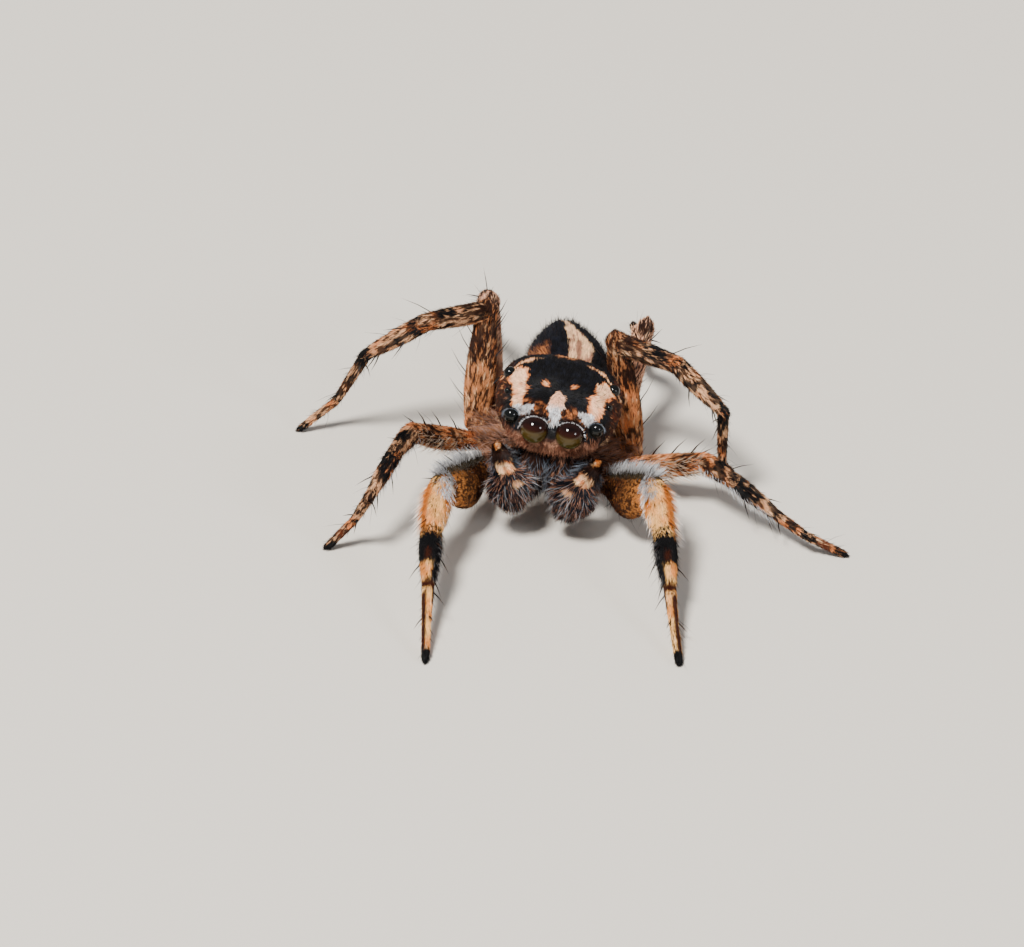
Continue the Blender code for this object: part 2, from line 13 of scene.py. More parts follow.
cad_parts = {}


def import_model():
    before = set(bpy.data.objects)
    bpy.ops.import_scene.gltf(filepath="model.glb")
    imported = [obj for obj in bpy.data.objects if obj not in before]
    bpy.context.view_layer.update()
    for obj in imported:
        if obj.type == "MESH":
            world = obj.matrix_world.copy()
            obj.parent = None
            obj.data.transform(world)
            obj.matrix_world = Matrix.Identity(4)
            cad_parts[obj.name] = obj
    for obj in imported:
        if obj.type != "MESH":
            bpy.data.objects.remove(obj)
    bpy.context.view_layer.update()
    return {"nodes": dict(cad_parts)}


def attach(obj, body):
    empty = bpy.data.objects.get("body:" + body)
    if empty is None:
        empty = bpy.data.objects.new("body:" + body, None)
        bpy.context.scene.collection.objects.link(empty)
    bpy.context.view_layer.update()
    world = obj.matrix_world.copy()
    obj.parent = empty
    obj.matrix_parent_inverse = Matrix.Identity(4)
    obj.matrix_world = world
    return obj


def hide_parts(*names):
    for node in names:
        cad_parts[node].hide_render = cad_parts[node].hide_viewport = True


TO_METRES = 0.001
SIDE_SIGN = {"r": -1, "l": 1}
RANDOM = np.random.default_rng(11)

# The camera looks at this point from this far, in mm, and this high above the floor
CAMERA_TARGET = Vector((-0.745, 0.42, 0.0))
CAMERA_DISTANCE = 200.0
CAMERA_ELEVATION = math.radians(35)
FRAME_WIDTH = 13.824
SENSOR_WIDTH = 36.0

# The head frame: its origin is midway between the two big front eyes, y runs back, z up
HEAD_AT = Vector((-0.21, -0.69, 1.45))
HEAD_YAW = math.radians(-6.8)
HEAD_ROLL = math.radians(7.4)
HEAD_NOSE_UP = math.radians(1.0)

# Carapace sections: distance back, half width, top, bottom
CARAPACE = (
    (-0.13, 0.10, -0.02, -0.14),
    (-0.10, 0.34, 0.08, -0.26),
    (-0.06, 0.50, 0.19, -0.33),
    (0.02, 0.61, 0.25, -0.38),
    (0.18, 0.70, 0.31, -0.41),
    (0.40, 0.78, 0.36, -0.47),
    (0.65, 0.84, 0.41, -0.60),
    (0.92, 0.875, 0.43, -0.66),
    (1.15, 0.86, 0.41, -0.68),
    (1.35, 0.81, 0.34, -0.69),
    (1.52, 0.73, 0.22, -0.70),
    (1.68, 0.62, 0.05, -0.70),
    (1.84, 0.49, -0.18, -0.73),
    (1.98, 0.35, -0.40, -0.76),
    (2.06, 0.22, -0.55, -0.78),
    (2.08, 0.06, -0.64, -0.70),
)
CARAPACE_SQUARENESS = 2.4
STERNUM_AT = Vector((0.0, 1.02, -0.78))
STERNUM = (
    (0.29, 0.06, -0.72, -0.84),
    (0.36, 0.18, -0.67, -0.89),
    (0.60, 0.33, -0.58, -0.98),
    (1.02, 0.40, -0.54, -1.02),
    (1.44, 0.33, -0.58, -0.98),
    (1.68, 0.18, -0.67, -0.89),
    (1.75, 0.06, -0.72, -0.84),
)

# Eyes: how far out, back and up, and the radius
EYES = {
    "eye_front_middle": (0.238, -0.03, 0.035, 0.198),
    "eye_front_side": (0.580, 0.07, 0.120, 0.105),
    "eye_small": (0.690, 0.55, 0.17, 0.045),
    "eye_rear": (0.705, 0.94, 0.190, 0.088),
}

# Legs: coxa ends in the head frame, segment lengths, half heights at the joints, swelling
COXA_END = {
    1: Vector((0.80, 0.42, -0.97)),
    2: Vector((1.00, 0.87, -0.95)),
    3: Vector((1.06, 1.28, -0.95)),
    4: Vector((0.86, 1.66, -0.95)),
}
COXA_INNER_SHARE = 0.30
COXA_INNER_RISE = 0.06
COXA_DRIFT = 0.25
COXA_RADIUS = 0.165
COXA_SWELL = 0.01
COXA_FLATNESS = 0.95
SEGMENTS = ("femur", "patella", "tibia", "metatarsus", "tarsus")
LEG_LENGTHS = {
    1: (1.39, 0.77, 0.89, 0.60, 0.52),
    2: (1.19, 0.57, 0.78, 0.57, 0.53),
    3: (1.53, 0.94, 1.00, 1.01, 0.65),
    4: (1.46, 0.52, 0.80, 0.84, 0.52),
}
LEG_JOINT_RADII = {
    1: (0.150, 0.190, 0.170, 0.105, 0.085, 0.075),
    2: (0.130, 0.150, 0.130, 0.095, 0.080, 0.075),
    3: (0.165, 0.160, 0.140, 0.100, 0.080, 0.070),
    4: (0.130, 0.150, 0.130, 0.095, 0.080, 0.070),
}
SEGMENT_SWELL = {
    1: (0.165, 0.040, 0.035, 0.005, 0.005),
    2: (0.045, 0.020, 0.022, 0.005, 0.005),
    3: (0.065, 0.015, 0.022, 0.005, 0.005),
    4: (0.050, 0.015, 0.020, 0.005, 0.005),
}
FEMUR_SAG = {1: 0.125, 2: 0.02, 3: 0.01, 4: 0.02}
FEMUR_FLATNESS = {1: 0.62, 2: 0.85, 3: 0.85, 4: 0.80}
FEMUR_PEAK = {1: 0.60, 2: 0.45, 3: 0.40, 4: 0.45}
USUAL_PEAK = 0.45
SEGMENT_FLATNESS = (0.90, 0.92, 1.0, 1.0)

# The stance: heading from straight ahead towards the leg's own side, and lift, in degrees
STANCE = {
    ("r", 1): ((28, 19), (10, -18), (3, -18), (2, -23), (2,)),
    ("l", 1): ((32, 28), (10, -17), (5, -19), (6, -26), (7,)),
    ("r", 2): ((56, 28), (21, 7), (29, -22), (122, -63), (85,)),
    ("l", 2): ((72, 16), (38, 4), (62, -28), (47, -9), (82,)),
    ("r", 3): ((-171, 52), (61, 8), (94, -35), (116, -63), (87,)),
    ("l", 3): ((-159, 69), (60, -3), (39, -14), (-178, -80), (165,)),
    ("r", 4): ((178, 48), (172, -25), (175, -42), (178, -48), (177,)),
    ("l", 4): ((159, 48), (-178, -45), (-176, -55), (-176, -22), (-176,)),
}
FOOT_HEIGHT = 0.055

# Palps in the head frame: coxa's start, then base, knee, end of the tibia, tip
PALP_COXA_START = Vector((0.42, 0.62, -0.82))
PALP_COXA_RADIUS = 0.095
PALP_JOINTS = (
    Vector((0.53, 0.24, -0.66)),
    Vector((0.66, -0.24, -0.27)),
    Vector((0.48, -0.40, -0.53)),
    Vector((0.37, -0.37, -0.93)),
)
PALP_RADII = (0.10, 0.14, 0.17, 0.17)
PALP_SWELL = (0.01, 0.03, 0.09)
PALP_FLATNESS = (0.95, 0.95, 1.25)
PALP_PIECES = ("femur", "tibia", "tarsus")
PALP_BACK = Vector((0, -1, 0.4))

# Chelicerae in the head frame: sections of height, half width, front, back
CHELICERA_OUT = 0.185
CHELICERA = (
    (-0.40, 0.160, -0.02, 0.30),
    (-0.47, 0.165, -0.04, 0.30),
    (-0.66, 0.180, -0.13, 0.28),
    (-0.89, 0.165, -0.14, 0.20),
    (-1.07, 0.120, -0.10, 0.10),
    (-1.16, 0.050, -0.04, 0.04),
)
CHELICERA_SQUARENESS = 2.2

# Abdomen, in its own frame: distance back, half width, top, bottom
ABDOMEN_AT = Vector((0.04, 1.50, 0.68))
ABDOMEN_YAW = math.radians(3.0)
ABDOMEN_ROLL = math.radians(14.0)
ABDOMEN_TAIL_DOWN = math.radians(9.0)
ABDOMEN = (
    (-0.02, 0.08, 0.14, 0.00),
    (0.03, 0.18, 0.22, -0.08),
    (0.12, 0.36, 0.32, -0.24),
    (0.30, 0.52, 0.42, -0.37),
    (0.52, 0.59, 0.47, -0.43),
    (0.78, 0.57, 0.47, -0.45),
    (1.06, 0.48, 0.43, -0.43),
    (1.34, 0.36, 0.35, -0.37),
    (1.60, 0.24, 0.25, -0.29),
    (1.80, 0.15, 0.15, -0.20),
    (1.90, 0.12, 0.10, -0.15),
    (2.02, 0.06, 0.03, -0.09),
)
ABDOMEN_SQUARENESS = 2.1
PEDICEL_RADIUS = 0.11
PEDICEL_IN_HEAD = Vector((0, 1.95, -0.62))
PEDICEL_IN_ABDOMEN = Vector((0, 0.12, 0.06))

# How deep the skin lies under the outline of the coat, by kind of form
INSET = {
    "leg": 0.030, "coxa": 0.030, "palp": 0.060, "chelicera": 0.030,
    "carapace": 0.030, "abdomen": 0.040, "sternum": 0.030,
}
# The skin: cell of its grid, how it is softened, how dark it is against the coat (its dark cuticle and
# painted shade under the hair), and the number of sides of the tubes that it is made from
VOXEL = 0.025
SOFTEN_FACTOR = 0.5
SOFTEN_TIMES = 4
SKIN_CUTICLE_AND_SHADE = 0.6
SKIN_SIDES = 24
# No tube of flesh is thinner than this half width
THINNEST = 0.006
# Grids for spreading hairs over a form and for measuring it: cells along it and round it
SCATTER_GRID = (48, 36)
AREA_GRID = (24, 18)
# Rings of a limb: steps between its joints, and degrees round its ends
LIMB_STEPS = 12
END_RINGS = (20, 40, 60, 80)
# Even places along a body, and how often its sections are softened
BODY_STEPS = 40
BODY_SOFTENINGS = 2
# A hair is dropped where the skin is further off than this in mm, or where the cosine between
# the hair's way out and the skin's is less than this
SETTLE_REACH = 0.06
SETTLE_FACING = 0.2

UP = Vector((0, 0, 1))


def srgb(red, green, blue):
    """A colour as the eye names it, turned into linear light."""
    values = np.array((red, green, blue)) / 255.0
    return np.where(values <= 0.04045, values / 12.92, ((values + 0.055) / 1.055) ** 2.4)


BLACK = srgb(10, 9, 11)
BLUE_BLACK = srgb(22, 24, 33)
DARK_BROWN = srgb(40, 20, 12)
RED_BROWN = srgb(84, 38, 20)
GOLD_BROWN = srgb(156, 104, 58)
AMBER = srgb(208, 132, 66)
ORANGE = srgb(206, 124, 74)
TAN = srgb(180, 118, 76)
PALE_TAN = srgb(202, 152, 114)
PINK_TAN = srgb(184, 132, 106)
YELLOW_CREAM = srgb(232, 178, 108)
CREAM = srgb(238, 196, 152)
PINK_CREAM = srgb(230, 176, 144)
OLIVE = srgb(66, 58, 40)
RUST = srgb(176, 98, 38)
BLUE_GREY = srgb(112, 119, 130)
GREY = srgb(130, 127, 128)
PALE_GREY = srgb(176, 174, 174)
WHITE = srgb(232, 234, 238)


def blend(first, second, share):
    """Mix two colours or rows of colours, by one share or a share for each row."""
    share = np.asarray(share, float)
    if share.ndim:
        share = share[:, None]
    return first * (1 - share) + second * share


def ramp(low, high, value):
    """0 below low, 1 above high and smooth between."""
    part = np.clip((value - low) / (high - low), 0, 1)
    return part * part * (3 - 2 * part)


def spread(*columns):
    return np.stack(np.broadcast_arrays(*columns), axis=-1).astype(float)


def unit(rows):
    return rows / np.maximum(np.linalg.norm(rows, axis=-1, keepdims=True), 1e-12)


# Large numbers that mix a place on the lattice into a random value
PLACE_MIXERS = np.array((73856093, 19349663, 83492791))
SEED_MIXER = 40503
LAST_MIXER = 1274126177


def value_noise(points, cell, seed):
    """Smooth random values from 0 to 1, one to each cell of a lattice."""
    scaled = points / cell + 100.0
    base = np.floor(scaled).astype(np.int64)
    part = scaled - base
    part = part * part * (3 - 2 * part)
    total = np.zeros(len(points))
    for corner in range(8):
        step = np.array([(corner >> axis) & 1 for axis in range(3)])
        mixed = np.bitwise_xor.reduce((base + step) * PLACE_MIXERS, axis=1) ^ seed * SEED_MIXER
        mixed = (mixed ^ (mixed >> 13)) * LAST_MIXER & 0x7FFFFFFF
        value = ((mixed ^ (mixed >> 16)) & 0xFFFF) / 65535.0
        total += np.where(step, part, 1 - part).prod(axis=1) * value
    return total


def frame_matrix(at, yaw, roll, pitch, pitch_first):
    turn = Matrix.Rotation(yaw, 4, "Z")
    lean = Matrix.Rotation(roll, 4, "Y")
    tip = Matrix.Rotation(pitch, 4, "X")
    inner = tip @ lean if pitch_first else lean @ tip
    return Matrix.Translation(at) @ turn @ inner


HEAD = frame_matrix(HEAD_AT, HEAD_YAW, HEAD_ROLL, -HEAD_NOSE_UP, False)
ABDOMEN_FRAME = frame_matrix(ABDOMEN_AT, ABDOMEN_YAW, ABDOMEN_ROLL, -ABDOMEN_TAIL_DOWN, True)


def to_local(matrix, points):
    inverse = np.array(matrix.inverted())
    return points @ inverse[:3, :3].T + inverse[:3, 3]


def to_world(matrix, points):
    table = np.array(matrix)
    return points @ table[:3, :3].T + table[:3, 3]


def to_world_way(matrix, ways):
    return ways @ np.array(matrix)[:3, :3].T


def on_side(point, side):
    return Vector((SIDE_SIGN[side] * point.x, point.y, point.z))


def around(sides):
    """The corners of a ring, each with the next one."""
    return [(here, (here + 1) % sides) for here in range(sides)]


class Form:
    """A tube of flesh. A place on it is a share along it and an angle from its back."""

    def __init__(self, name, kind, shares, centres, up, front, heights, widths, squareness=2.0):
        self.name = name
        self.kind = kind
        self.shares = np.array(shares, float)
        self.centres = np.array(centres, float)
        self.up = np.array(up, float)
        self.front = np.array(front, float)
        self.heights = np.array(heights, float)
        self.widths = np.array(widths, float)
        self.power = 2.0 / squareness
        self.length = 1.0
        self.side = ""
        self.pair = 0
        self.segment = ""

    def column(self, table, share):
        if table.ndim == 1:
            return np.interp(share, self.shares, table)
        return np.stack([np.interp(share, self.shares, table[:, k]) for k in range(3)], axis=-1)

    def surface(self, share, angle, inset=0.0):
        cosine = np.cos(angle)
        sine = np.sin(angle)
        rise = np.sign(cosine) * np.abs(cosine) ** self.power
        reach = np.sign(sine) * np.abs(sine) ** self.power
        height = np.maximum(self.column(self.heights, share) - inset, THINNEST)
        width = np.maximum(self.column(self.widths, share) - inset, THINNEST)
        point = self.column(self.centres, share) + self.up * (height * rise)[..., None]
        return point + self.front * (width * reach)[..., None]

    def mesh(self, inset):
        sides = SKIN_SIDES
        angles = np.arange(sides) * (2 * math.pi / sides)
        rings = [self.surface(np.full(sides, share), angles, inset) for share in self.shares]
        faces = []
        for row in range(len(rings) - 1):
            low, high = row * sides, (row + 1) * sides
            faces += [(low + here, low + after, high + after, high + here) for here, after in around(sides)]
        faces += [tuple(range(sides - 1, -1, -1)), tuple(range(high, high + sides))]
        return np.concatenate(rings), faces

    def cell_areas(self, first, last, grid_size, inset=0.0):
        """Edges of a grid between two shares, and the area of each of its cells."""
        rows, columns = grid_size
        share_edges = np.linspace(first, last, rows + 1)
        angle_edges = np.linspace(0, 2 * math.pi, columns + 1)
        grid = self.surface(*np.meshgrid(share_edges, angle_edges, indexing="ij"), inset)
        down = grid[1:, :-1] - grid[:-1, :-1]
        across = grid[:-1, 1:] - grid[:-1, :-1]
        return share_edges, angle_edges, np.linalg.norm(np.cross(down, across), axis=-1)

    def scatter(self, number, first, last, inset):
        """Even random places between two shares: share, angle, point, outward, along."""
        rows, columns = SCATTER_GRID
        share_edges, angle_edges, areas = self.cell_areas(first, last, SCATTER_GRID, inset)
        areas = areas.ravel()
        cells = RANDOM.choice(rows * columns, size=number, p=areas / areas.sum())
        share = share_edges[cells // columns] + RANDOM.random(number) * (last - first) / rows
        angle = angle_edges[cells % columns] + RANDOM.random(number) * (2 * math.pi / columns)
        return self.places(share, angle, inset)

    def area(self, first, last):
        return self.cell_areas(first, last, AREA_GRID)[2].sum()

    def places(self, share, angle, inset):
        step = 0.004
        point = self.surface(share, angle, inset)
        along = self.surface(share + step, angle, inset) - self.surface(share - step, angle, inset)
        across = self.surface(share, angle + step, inset) - self.surface(share, angle - step, inset)
        outward = unit(np.cross(across, along))
        away = point - self.column(self.centres, share)
        outward = outward * np.sign((outward * away).sum(axis=1))[:, None]
        return {"share": share, "angle": angle, "point": point, "outward": outward, "along": unit(along)}


def limb(name, kind, start, end, radii, swell, flatness, dorsal, front_sign, sag=0.0, peak=USUAL_PEAK):
    """The round-ended tube between two joints."""
    length = (end - start).length
    axis = (end - start).normalized()
    up = (dorsal - axis * dorsal.dot(axis)).normalized()
    front = axis.cross(up) * front_sign
    power = math.log(0.5) / math.log(peak)

    def hump(share):
        return math.sin(math.pi * share ** power)

    ends = [math.radians(lean) for lean in END_RINGS]
    rows = [(-radii[0] * math.sin(angle), radii[0] * math.cos(angle)) for angle in reversed(ends)]
    for step in range(LIMB_STEPS + 1):
        share = step / LIMB_STEPS
        rows.append((length * share, radii[0] + (radii[1] - radii[0]) * share + swell * hump(share)))
    rows += [(length + radii[1] * math.sin(angle), radii[1] * math.cos(angle)) for angle in ends]
    centres = []
    for along, _ in rows:
        share = min(max(along / length, 0.0), 1.0)
        centres.append(start + axis * along - up * (sag * hump(share)))
    shares = [along / length for along, _ in rows]
    heights = [radius for _, radius in rows]
    widths = [radius * flatness for _, radius in rows]
    form = Form(name, kind, shares, centres, up, front, heights, widths)
    form.length = length
    return form


def body_form(name, kind, sections, matrix, squareness):
    """A form lofted along its frame's y. Its share is the distance back in mm."""
    table = np.array(sections, float)
    backs = table[:, 0]
    fine = np.unique(np.concatenate([backs, np.linspace(backs[0], backs[-1], BODY_STEPS)]))
    smooth = [np.interp(fine, backs, table[:, k]) for k in range(1, 4)]
    for _ in range(BODY_SOFTENINGS):
        for column in smooth:
            column[1:-1] = column[1:-1] * 0.5 + (column[:-2] + column[2:]) * 0.25
    middles = (smooth[1] + smooth[2]) / 2
    centres = [matrix @ Vector((0, back, middle)) for back, middle in zip(fine, middles)]
    up = (matrix.to_3x3() @ Vector((0, 0, 1))).normalized()
    left = (matrix.to_3x3() @ Vector((1, 0, 0))).normalized()
    heights = (smooth[1] - smooth[2]) / 2
    return Form(name, kind, fine, centres, up, left, heights, smooth[0], squareness)


def leg_points(side, pair):
    sign = SIDE_SIGN[side]
    points = [HEAD @ on_side(COXA_END[pair], side)]
    for length, angles in zip(LEG_LENGTHS[pair], STANCE[(side, pair)]):
        heading = math.radians(angles[0])
        if len(angles) == 2:
            lift = math.radians(angles[1])
        else:
            lift = -math.asin((points[-1].z - FOOT_HEIGHT) / length)
        flat = math.cos(lift)
        step = Vector((sign * math.sin(heading) * flat, -math.cos(heading) * flat, math.sin(lift)))
        points.append(points[-1] + step * length)
    return points


def leg_forms(side, pair):
    end = COXA_END[pair]
    inner = Vector((
        end.x * COXA_INNER_SHARE, end.y + (STERNUM_AT.y - end.y) * COXA_DRIFT, end.z + COXA_INNER_RISE
    ))
    radii = (COXA_RADIUS, LEG_JOINT_RADII[pair][0])
    start, stop = HEAD @ on_side(inner, side), HEAD @ on_side(end, side)
    forms = [limb(
        f"coxa_{side}{pair}", "coxa", start, stop, radii, COXA_SWELL, COXA_FLATNESS, UP, SIDE_SIGN[side],
    )]
    points = leg_points(side, pair)
    plane = (points[1] - points[0]).cross(points[5] - points[1]).normalized()
    for number, segment in enumerate(SEGMENTS):
        start, stop = points[number], points[number + 1]
        flatness = SEGMENT_FLATNESS[number - 1] if number else FEMUR_FLATNESS[pair]
        form = limb(
            f"leg_{side}{pair}_{segment}", "leg", start, stop, LEG_JOINT_RADII[pair][number:number + 2],
            SEGMENT_SWELL[pair][number], flatness, (stop - start).cross(plane), SIDE_SIGN[side],
            0.0 if number else FEMUR_SAG[pair], USUAL_PEAK if number else FEMUR_PEAK[pair],
        )
        form.segment = segment
        forms.append(form)
    for form in forms:
        form.side = side
        form.pair = pair
    return forms


def palp_forms(side):
    joints = [HEAD @ on_side(joint, side) for joint in (PALP_COXA_START,) + PALP_JOINTS]
    radii = (PALP_COXA_RADIUS,) + PALP_RADII
    swells = (COXA_SWELL,) + PALP_SWELL
    flatness = (COXA_FLATNESS,) + PALP_FLATNESS
    forms = []
    for number, segment in enumerate(("coxa",) + PALP_PIECES):
        form = limb(
            f"palp_{side}_{segment}", "palp", joints[number], joints[number + 1],
            radii[number:number + 2], swells[number], flatness[number], PALP_BACK, SIDE_SIGN[side],
        )
        form.side = side
        form.segment = segment
        forms.append(form)
    return forms


def chelicera_form(side):
    shares, centres, heights, widths = [], [], [], []
    for height, half_width, front, back in CHELICERA:
        middle = Vector((CHELICERA_OUT, (front + back) / 2, height))
        shares.append(CHELICERA[0][0] - height)
        centres.append(HEAD @ on_side(middle, side))
        heights.append((back - front) / 2)
        widths.append(half_width)
    face = (HEAD.to_3x3() @ Vector((0, -1, 0))).normalized()
    left = (HEAD.to_3x3() @ Vector((1, 0, 0))).normalized()
    form = Form(
        f"chelicera_{side}", "chelicera", shares, centres, face, left, heights, widths,
        CHELICERA_SQUARENESS,
    )
    form.side = side
    return form


def all_forms():
    forms = [
        body_form("carapace", "carapace", CARAPACE, HEAD, CARAPACE_SQUARENESS),
        body_form("sternum", "sternum", STERNUM, HEAD, 2.0),
        body_form("abdomen", "abdomen", ABDOMEN, ABDOMEN_FRAME, ABDOMEN_SQUARENESS),
    ]
    forms.append(limb(
        "pedicel", "sternum", HEAD @ PEDICEL_IN_HEAD, ABDOMEN_FRAME @ PEDICEL_IN_ABDOMEN,
        (PEDICEL_RADIUS, PEDICEL_RADIUS), 0, 1.0, UP, 1,
    ))
    for side in SIDE_SIGN:
        forms.append(chelicera_form(side))
        forms.extend(palp_forms(side))
    for side, pair in STANCE:
        forms.extend(leg_forms(side, pair))
    return forms


DEEP_RED = RED_BROWN * 0.4
# Bands of the legs: first and last share and colour, and for a band that doesn't go all round
# the middle of its arc from the back and half the arc, in degrees
LEG_BANDS = {
    (1, "patella"): ((0.08, 0.98, RUST, -18, 20), (0.06, 0.50, RUST, 86, 16)),
    (1, "tibia"): (
        (-0.2, 0.62, BLACK), (0.40, 0.58, DEEP_RED, 26, 16), (0.60, 0.94, BLACK, 100, 44),
        (0.62, 0.84, AMBER, -16, 32), (0.93, 1.2, DEEP_RED),
    ),
    (1, "metatarsus"): (
        (-0.2, 0.08, DEEP_RED), (0.0, 0.50, DEEP_RED, 116, 30), (0.20, 1.3, DEEP_RED, -12, 36),
    ),
    (1, "tarsus"): ((-0.2, 1.1, DEEP_RED, -12, 40), (0.74, 1.4, BLACK)),
    (2, "femur"): ((0.62, 0.84, DARK_BROWN, 70, 60),),
    (2, "patella"): ((0.32, 0.76, BLACK, 4, 48), (0.05, 0.45, DARK_BROWN, 100, 30)),
    (2, "tibia"): ((-0.2, 0.38, BLACK), (0.38, 0.60, BLACK, 60, 50), (0.88, 1.2, DARK_BROWN)),
    (2, "metatarsus"): ((-0.2, 0.14, BLACK), (0.42, 0.56, DARK_BROWN, 0, 75), (0.80, 1.2, BLACK)),
    (2, "tarsus"): ((0.30, 0.56, RED_BROWN), (0.66, 1.4, BLACK)),
    (3, "femur"): ((0.52, 0.86, DARK_BROWN, 100, 110), (0.95, 1.2, DARK_BROWN)),
    (3, "patella"): ((-0.2, 0.34, DARK_BROWN, 20, 95), (0.52, 0.86, BLACK, 20, 85)),
    (3, "tibia"): ((-0.1, 0.17, BLACK), (0.87, 1.2, BLACK)),
    (3, "metatarsus"): ((-0.2, 0.22, BLACK), (0.44, 0.60, DARK_BROWN), (0.88, 1.2, BLACK)),
    (3, "tarsus"): ((0.80, 1.4, BLACK),),
    (4, "femur"): ((0.88, 1.2, DARK_BROWN, 0, 75),),
    (4, "patella"): ((0.40, 0.90, BLACK, 0, 75),),
    (4, "tibia"): ((-0.1, 0.18, BLACK), (0.82, 1.2, BLACK)),
    (4, "metatarsus"): ((-0.2, 0.15, BLACK), (0.85, 1.2, BLACK)),
    (4, "tarsus"): ((0.80, 1.4, BLACK),),
}
# How far noise shifts the edges of bands, on the front legs and on the others
FRONT_SHIFT = 0.12
OTHER_SHIFT = 0.30
LEG_BASE = {1: (YELLOW_CREAM, AMBER), 2: (TAN, ORANGE), 3: (TAN, ORANGE), 4: (PINK_CREAM, PINK_TAN)}
# Noise above this is a dark fleck, so that a lower value makes a darker leg
LEG_FLECKS = {1: 0.74, 2: 0.54, 3: 0.51, 4: 0.56}


# Degrees by which an arc's edge is soft to each side
ARC_EDGE = 14


def arc_weight(angle, middle=0, half=180):
    """1 inside an arc round the limb, with a soft edge."""
    if half >= 180:
        return np.ones(len(angle))
    turn = np.degrees(angle) - middle
    turn = np.abs((turn + 180) % 360 - 180)
    return 1 - ramp(half - ARC_EDGE, half + ARC_EDGE, turn)


def streaks(form, places, long_cell, short_cell, seed):
    """Noise drawn out along the limb, so that it falls as the hair lies."""
    radius = form.column(form.heights, places["share"])
    flat = spread(
        places["share"] * form.length / long_cell, places["angle"] * radius / short_cell,
        np.full(len(radius), float(sum(map(ord, form.name)))),
    )
    return value_noise(flat, 1.0, seed)


def paint_leg(form, places):
    share, angle, point = places["share"], places["angle"], places["point"]
    if form.pair == 1 and form.segment == "femur":
        return paint_front_femur(form, places)
    tone = value_noise(point, 0.16, 3)
    fine = 0.72 * streaks(form, places, 0.075, 0.020, 5) + 0.28 * streaks(form, places, 0.24, 0.10, 6)
    first, second = LEG_BASE[form.pair]
    limit = LEG_FLECKS[form.pair]
    outer_leg = form.segment != "femur" and form.pair in (2, 3)
    if outer_leg:
        first = PALE_TAN
        limit = limit - 0.035
    colour = blend(first, second, ramp(0.4, 0.8, tone))
    colour = blend(colour, CREAM, 0.5 * ramp(0.66, 0.78, streaks(form, places, 0.10, 0.025, 9)))
    if form.segment == "femur" and form.pair > 2:
        limit = limit + 0.07 * (1 - ramp(0.30, 0.60, share)) - 0.03 * ramp(0.55, 0.70, share)
    colour = blend(colour, DARK_BROWN, 0.92 * ramp(limit, limit + 0.06, fine))
    if outer_leg:
        blotch = streaks(form, places, 0.15, 0.10, 7)
        colour = blend(colour, BLACK, 0.9 * ramp(0.60, 0.66, blotch + 0.3 * (fine - 0.5)))
    ragged = share + (fine - 0.5) * (FRONT_SHIFT if form.pair == 1 else OTHER_SHIFT)
    pale = streaks(form, places, 0.06, 0.022, 8)
    for low, high, shade, *arc in LEG_BANDS.get((form.pair, form.segment), ()):
        weight = ramp(low - 0.03, low + 0.03, ragged) * (1 - ramp(high - 0.03, high + 0.03, ragged))
        if form.pair > 1:
            gaps = 0.60 if shade is DARK_BROWN else 0.72
            weight = weight * (1 - 0.75 * ramp(gaps, gaps + 0.06, pale))
        colour = blend(colour, shade, weight * arc_weight(angle, *arc))
    return colour


def paint_front_femur(form, places):
    """Golden brown sides mottled dark, olive under the white crest."""
    share, angle, point = places["share"], places["angle"], places["point"]
    mottle = 0.6 * value_noise(point, 0.024, 21) + 0.4 * value_noise(point, 0.11, 22)
    colour = blend(GOLD_BROWN, AMBER, 0.6 * ramp(0.55, 0.95, share))
    deep = 1 - ramp(0.45, 0.85, share)
    colour = blend(colour, RED_BROWN * 0.8, 0.9 * deep)
    colour = blend(colour, GOLD_BROWN, 0.8 * deep * ramp(0.58, 0.66, value_noise(point, 0.026, 23)))
    colour = blend(colour, DARK_BROWN, 0.9 * ramp(0.54 - 0.06 * deep, 0.61 - 0.06 * deep, mottle))
    return blend(colour, OLIVE, 0.95 * arc_weight(angle, 0, 46) * ramp(-0.1, 0.1, share))


def paint_coxa(form, places):
    tone = value_noise(places["point"], 0.08, 31)
    colour = blend(PINK_TAN * 0.4, PINK_TAN * 0.7, ramp(0.35, 0.65, tone))
    return blend(colour, DARK_BROWN, 0.8 * ramp(0.50, 0.62, value_noise(places["point"], 0.04, 33)))


def club_spot(places):
    """1 in the small pale spot at the inner root of a palp's club."""
    round_it = arc_weight(places["angle"], 32, 20)
    return round_it * ramp(-0.08, 0.0, places["share"]) * (1 - ramp(0.14, 0.22, places["share"]))


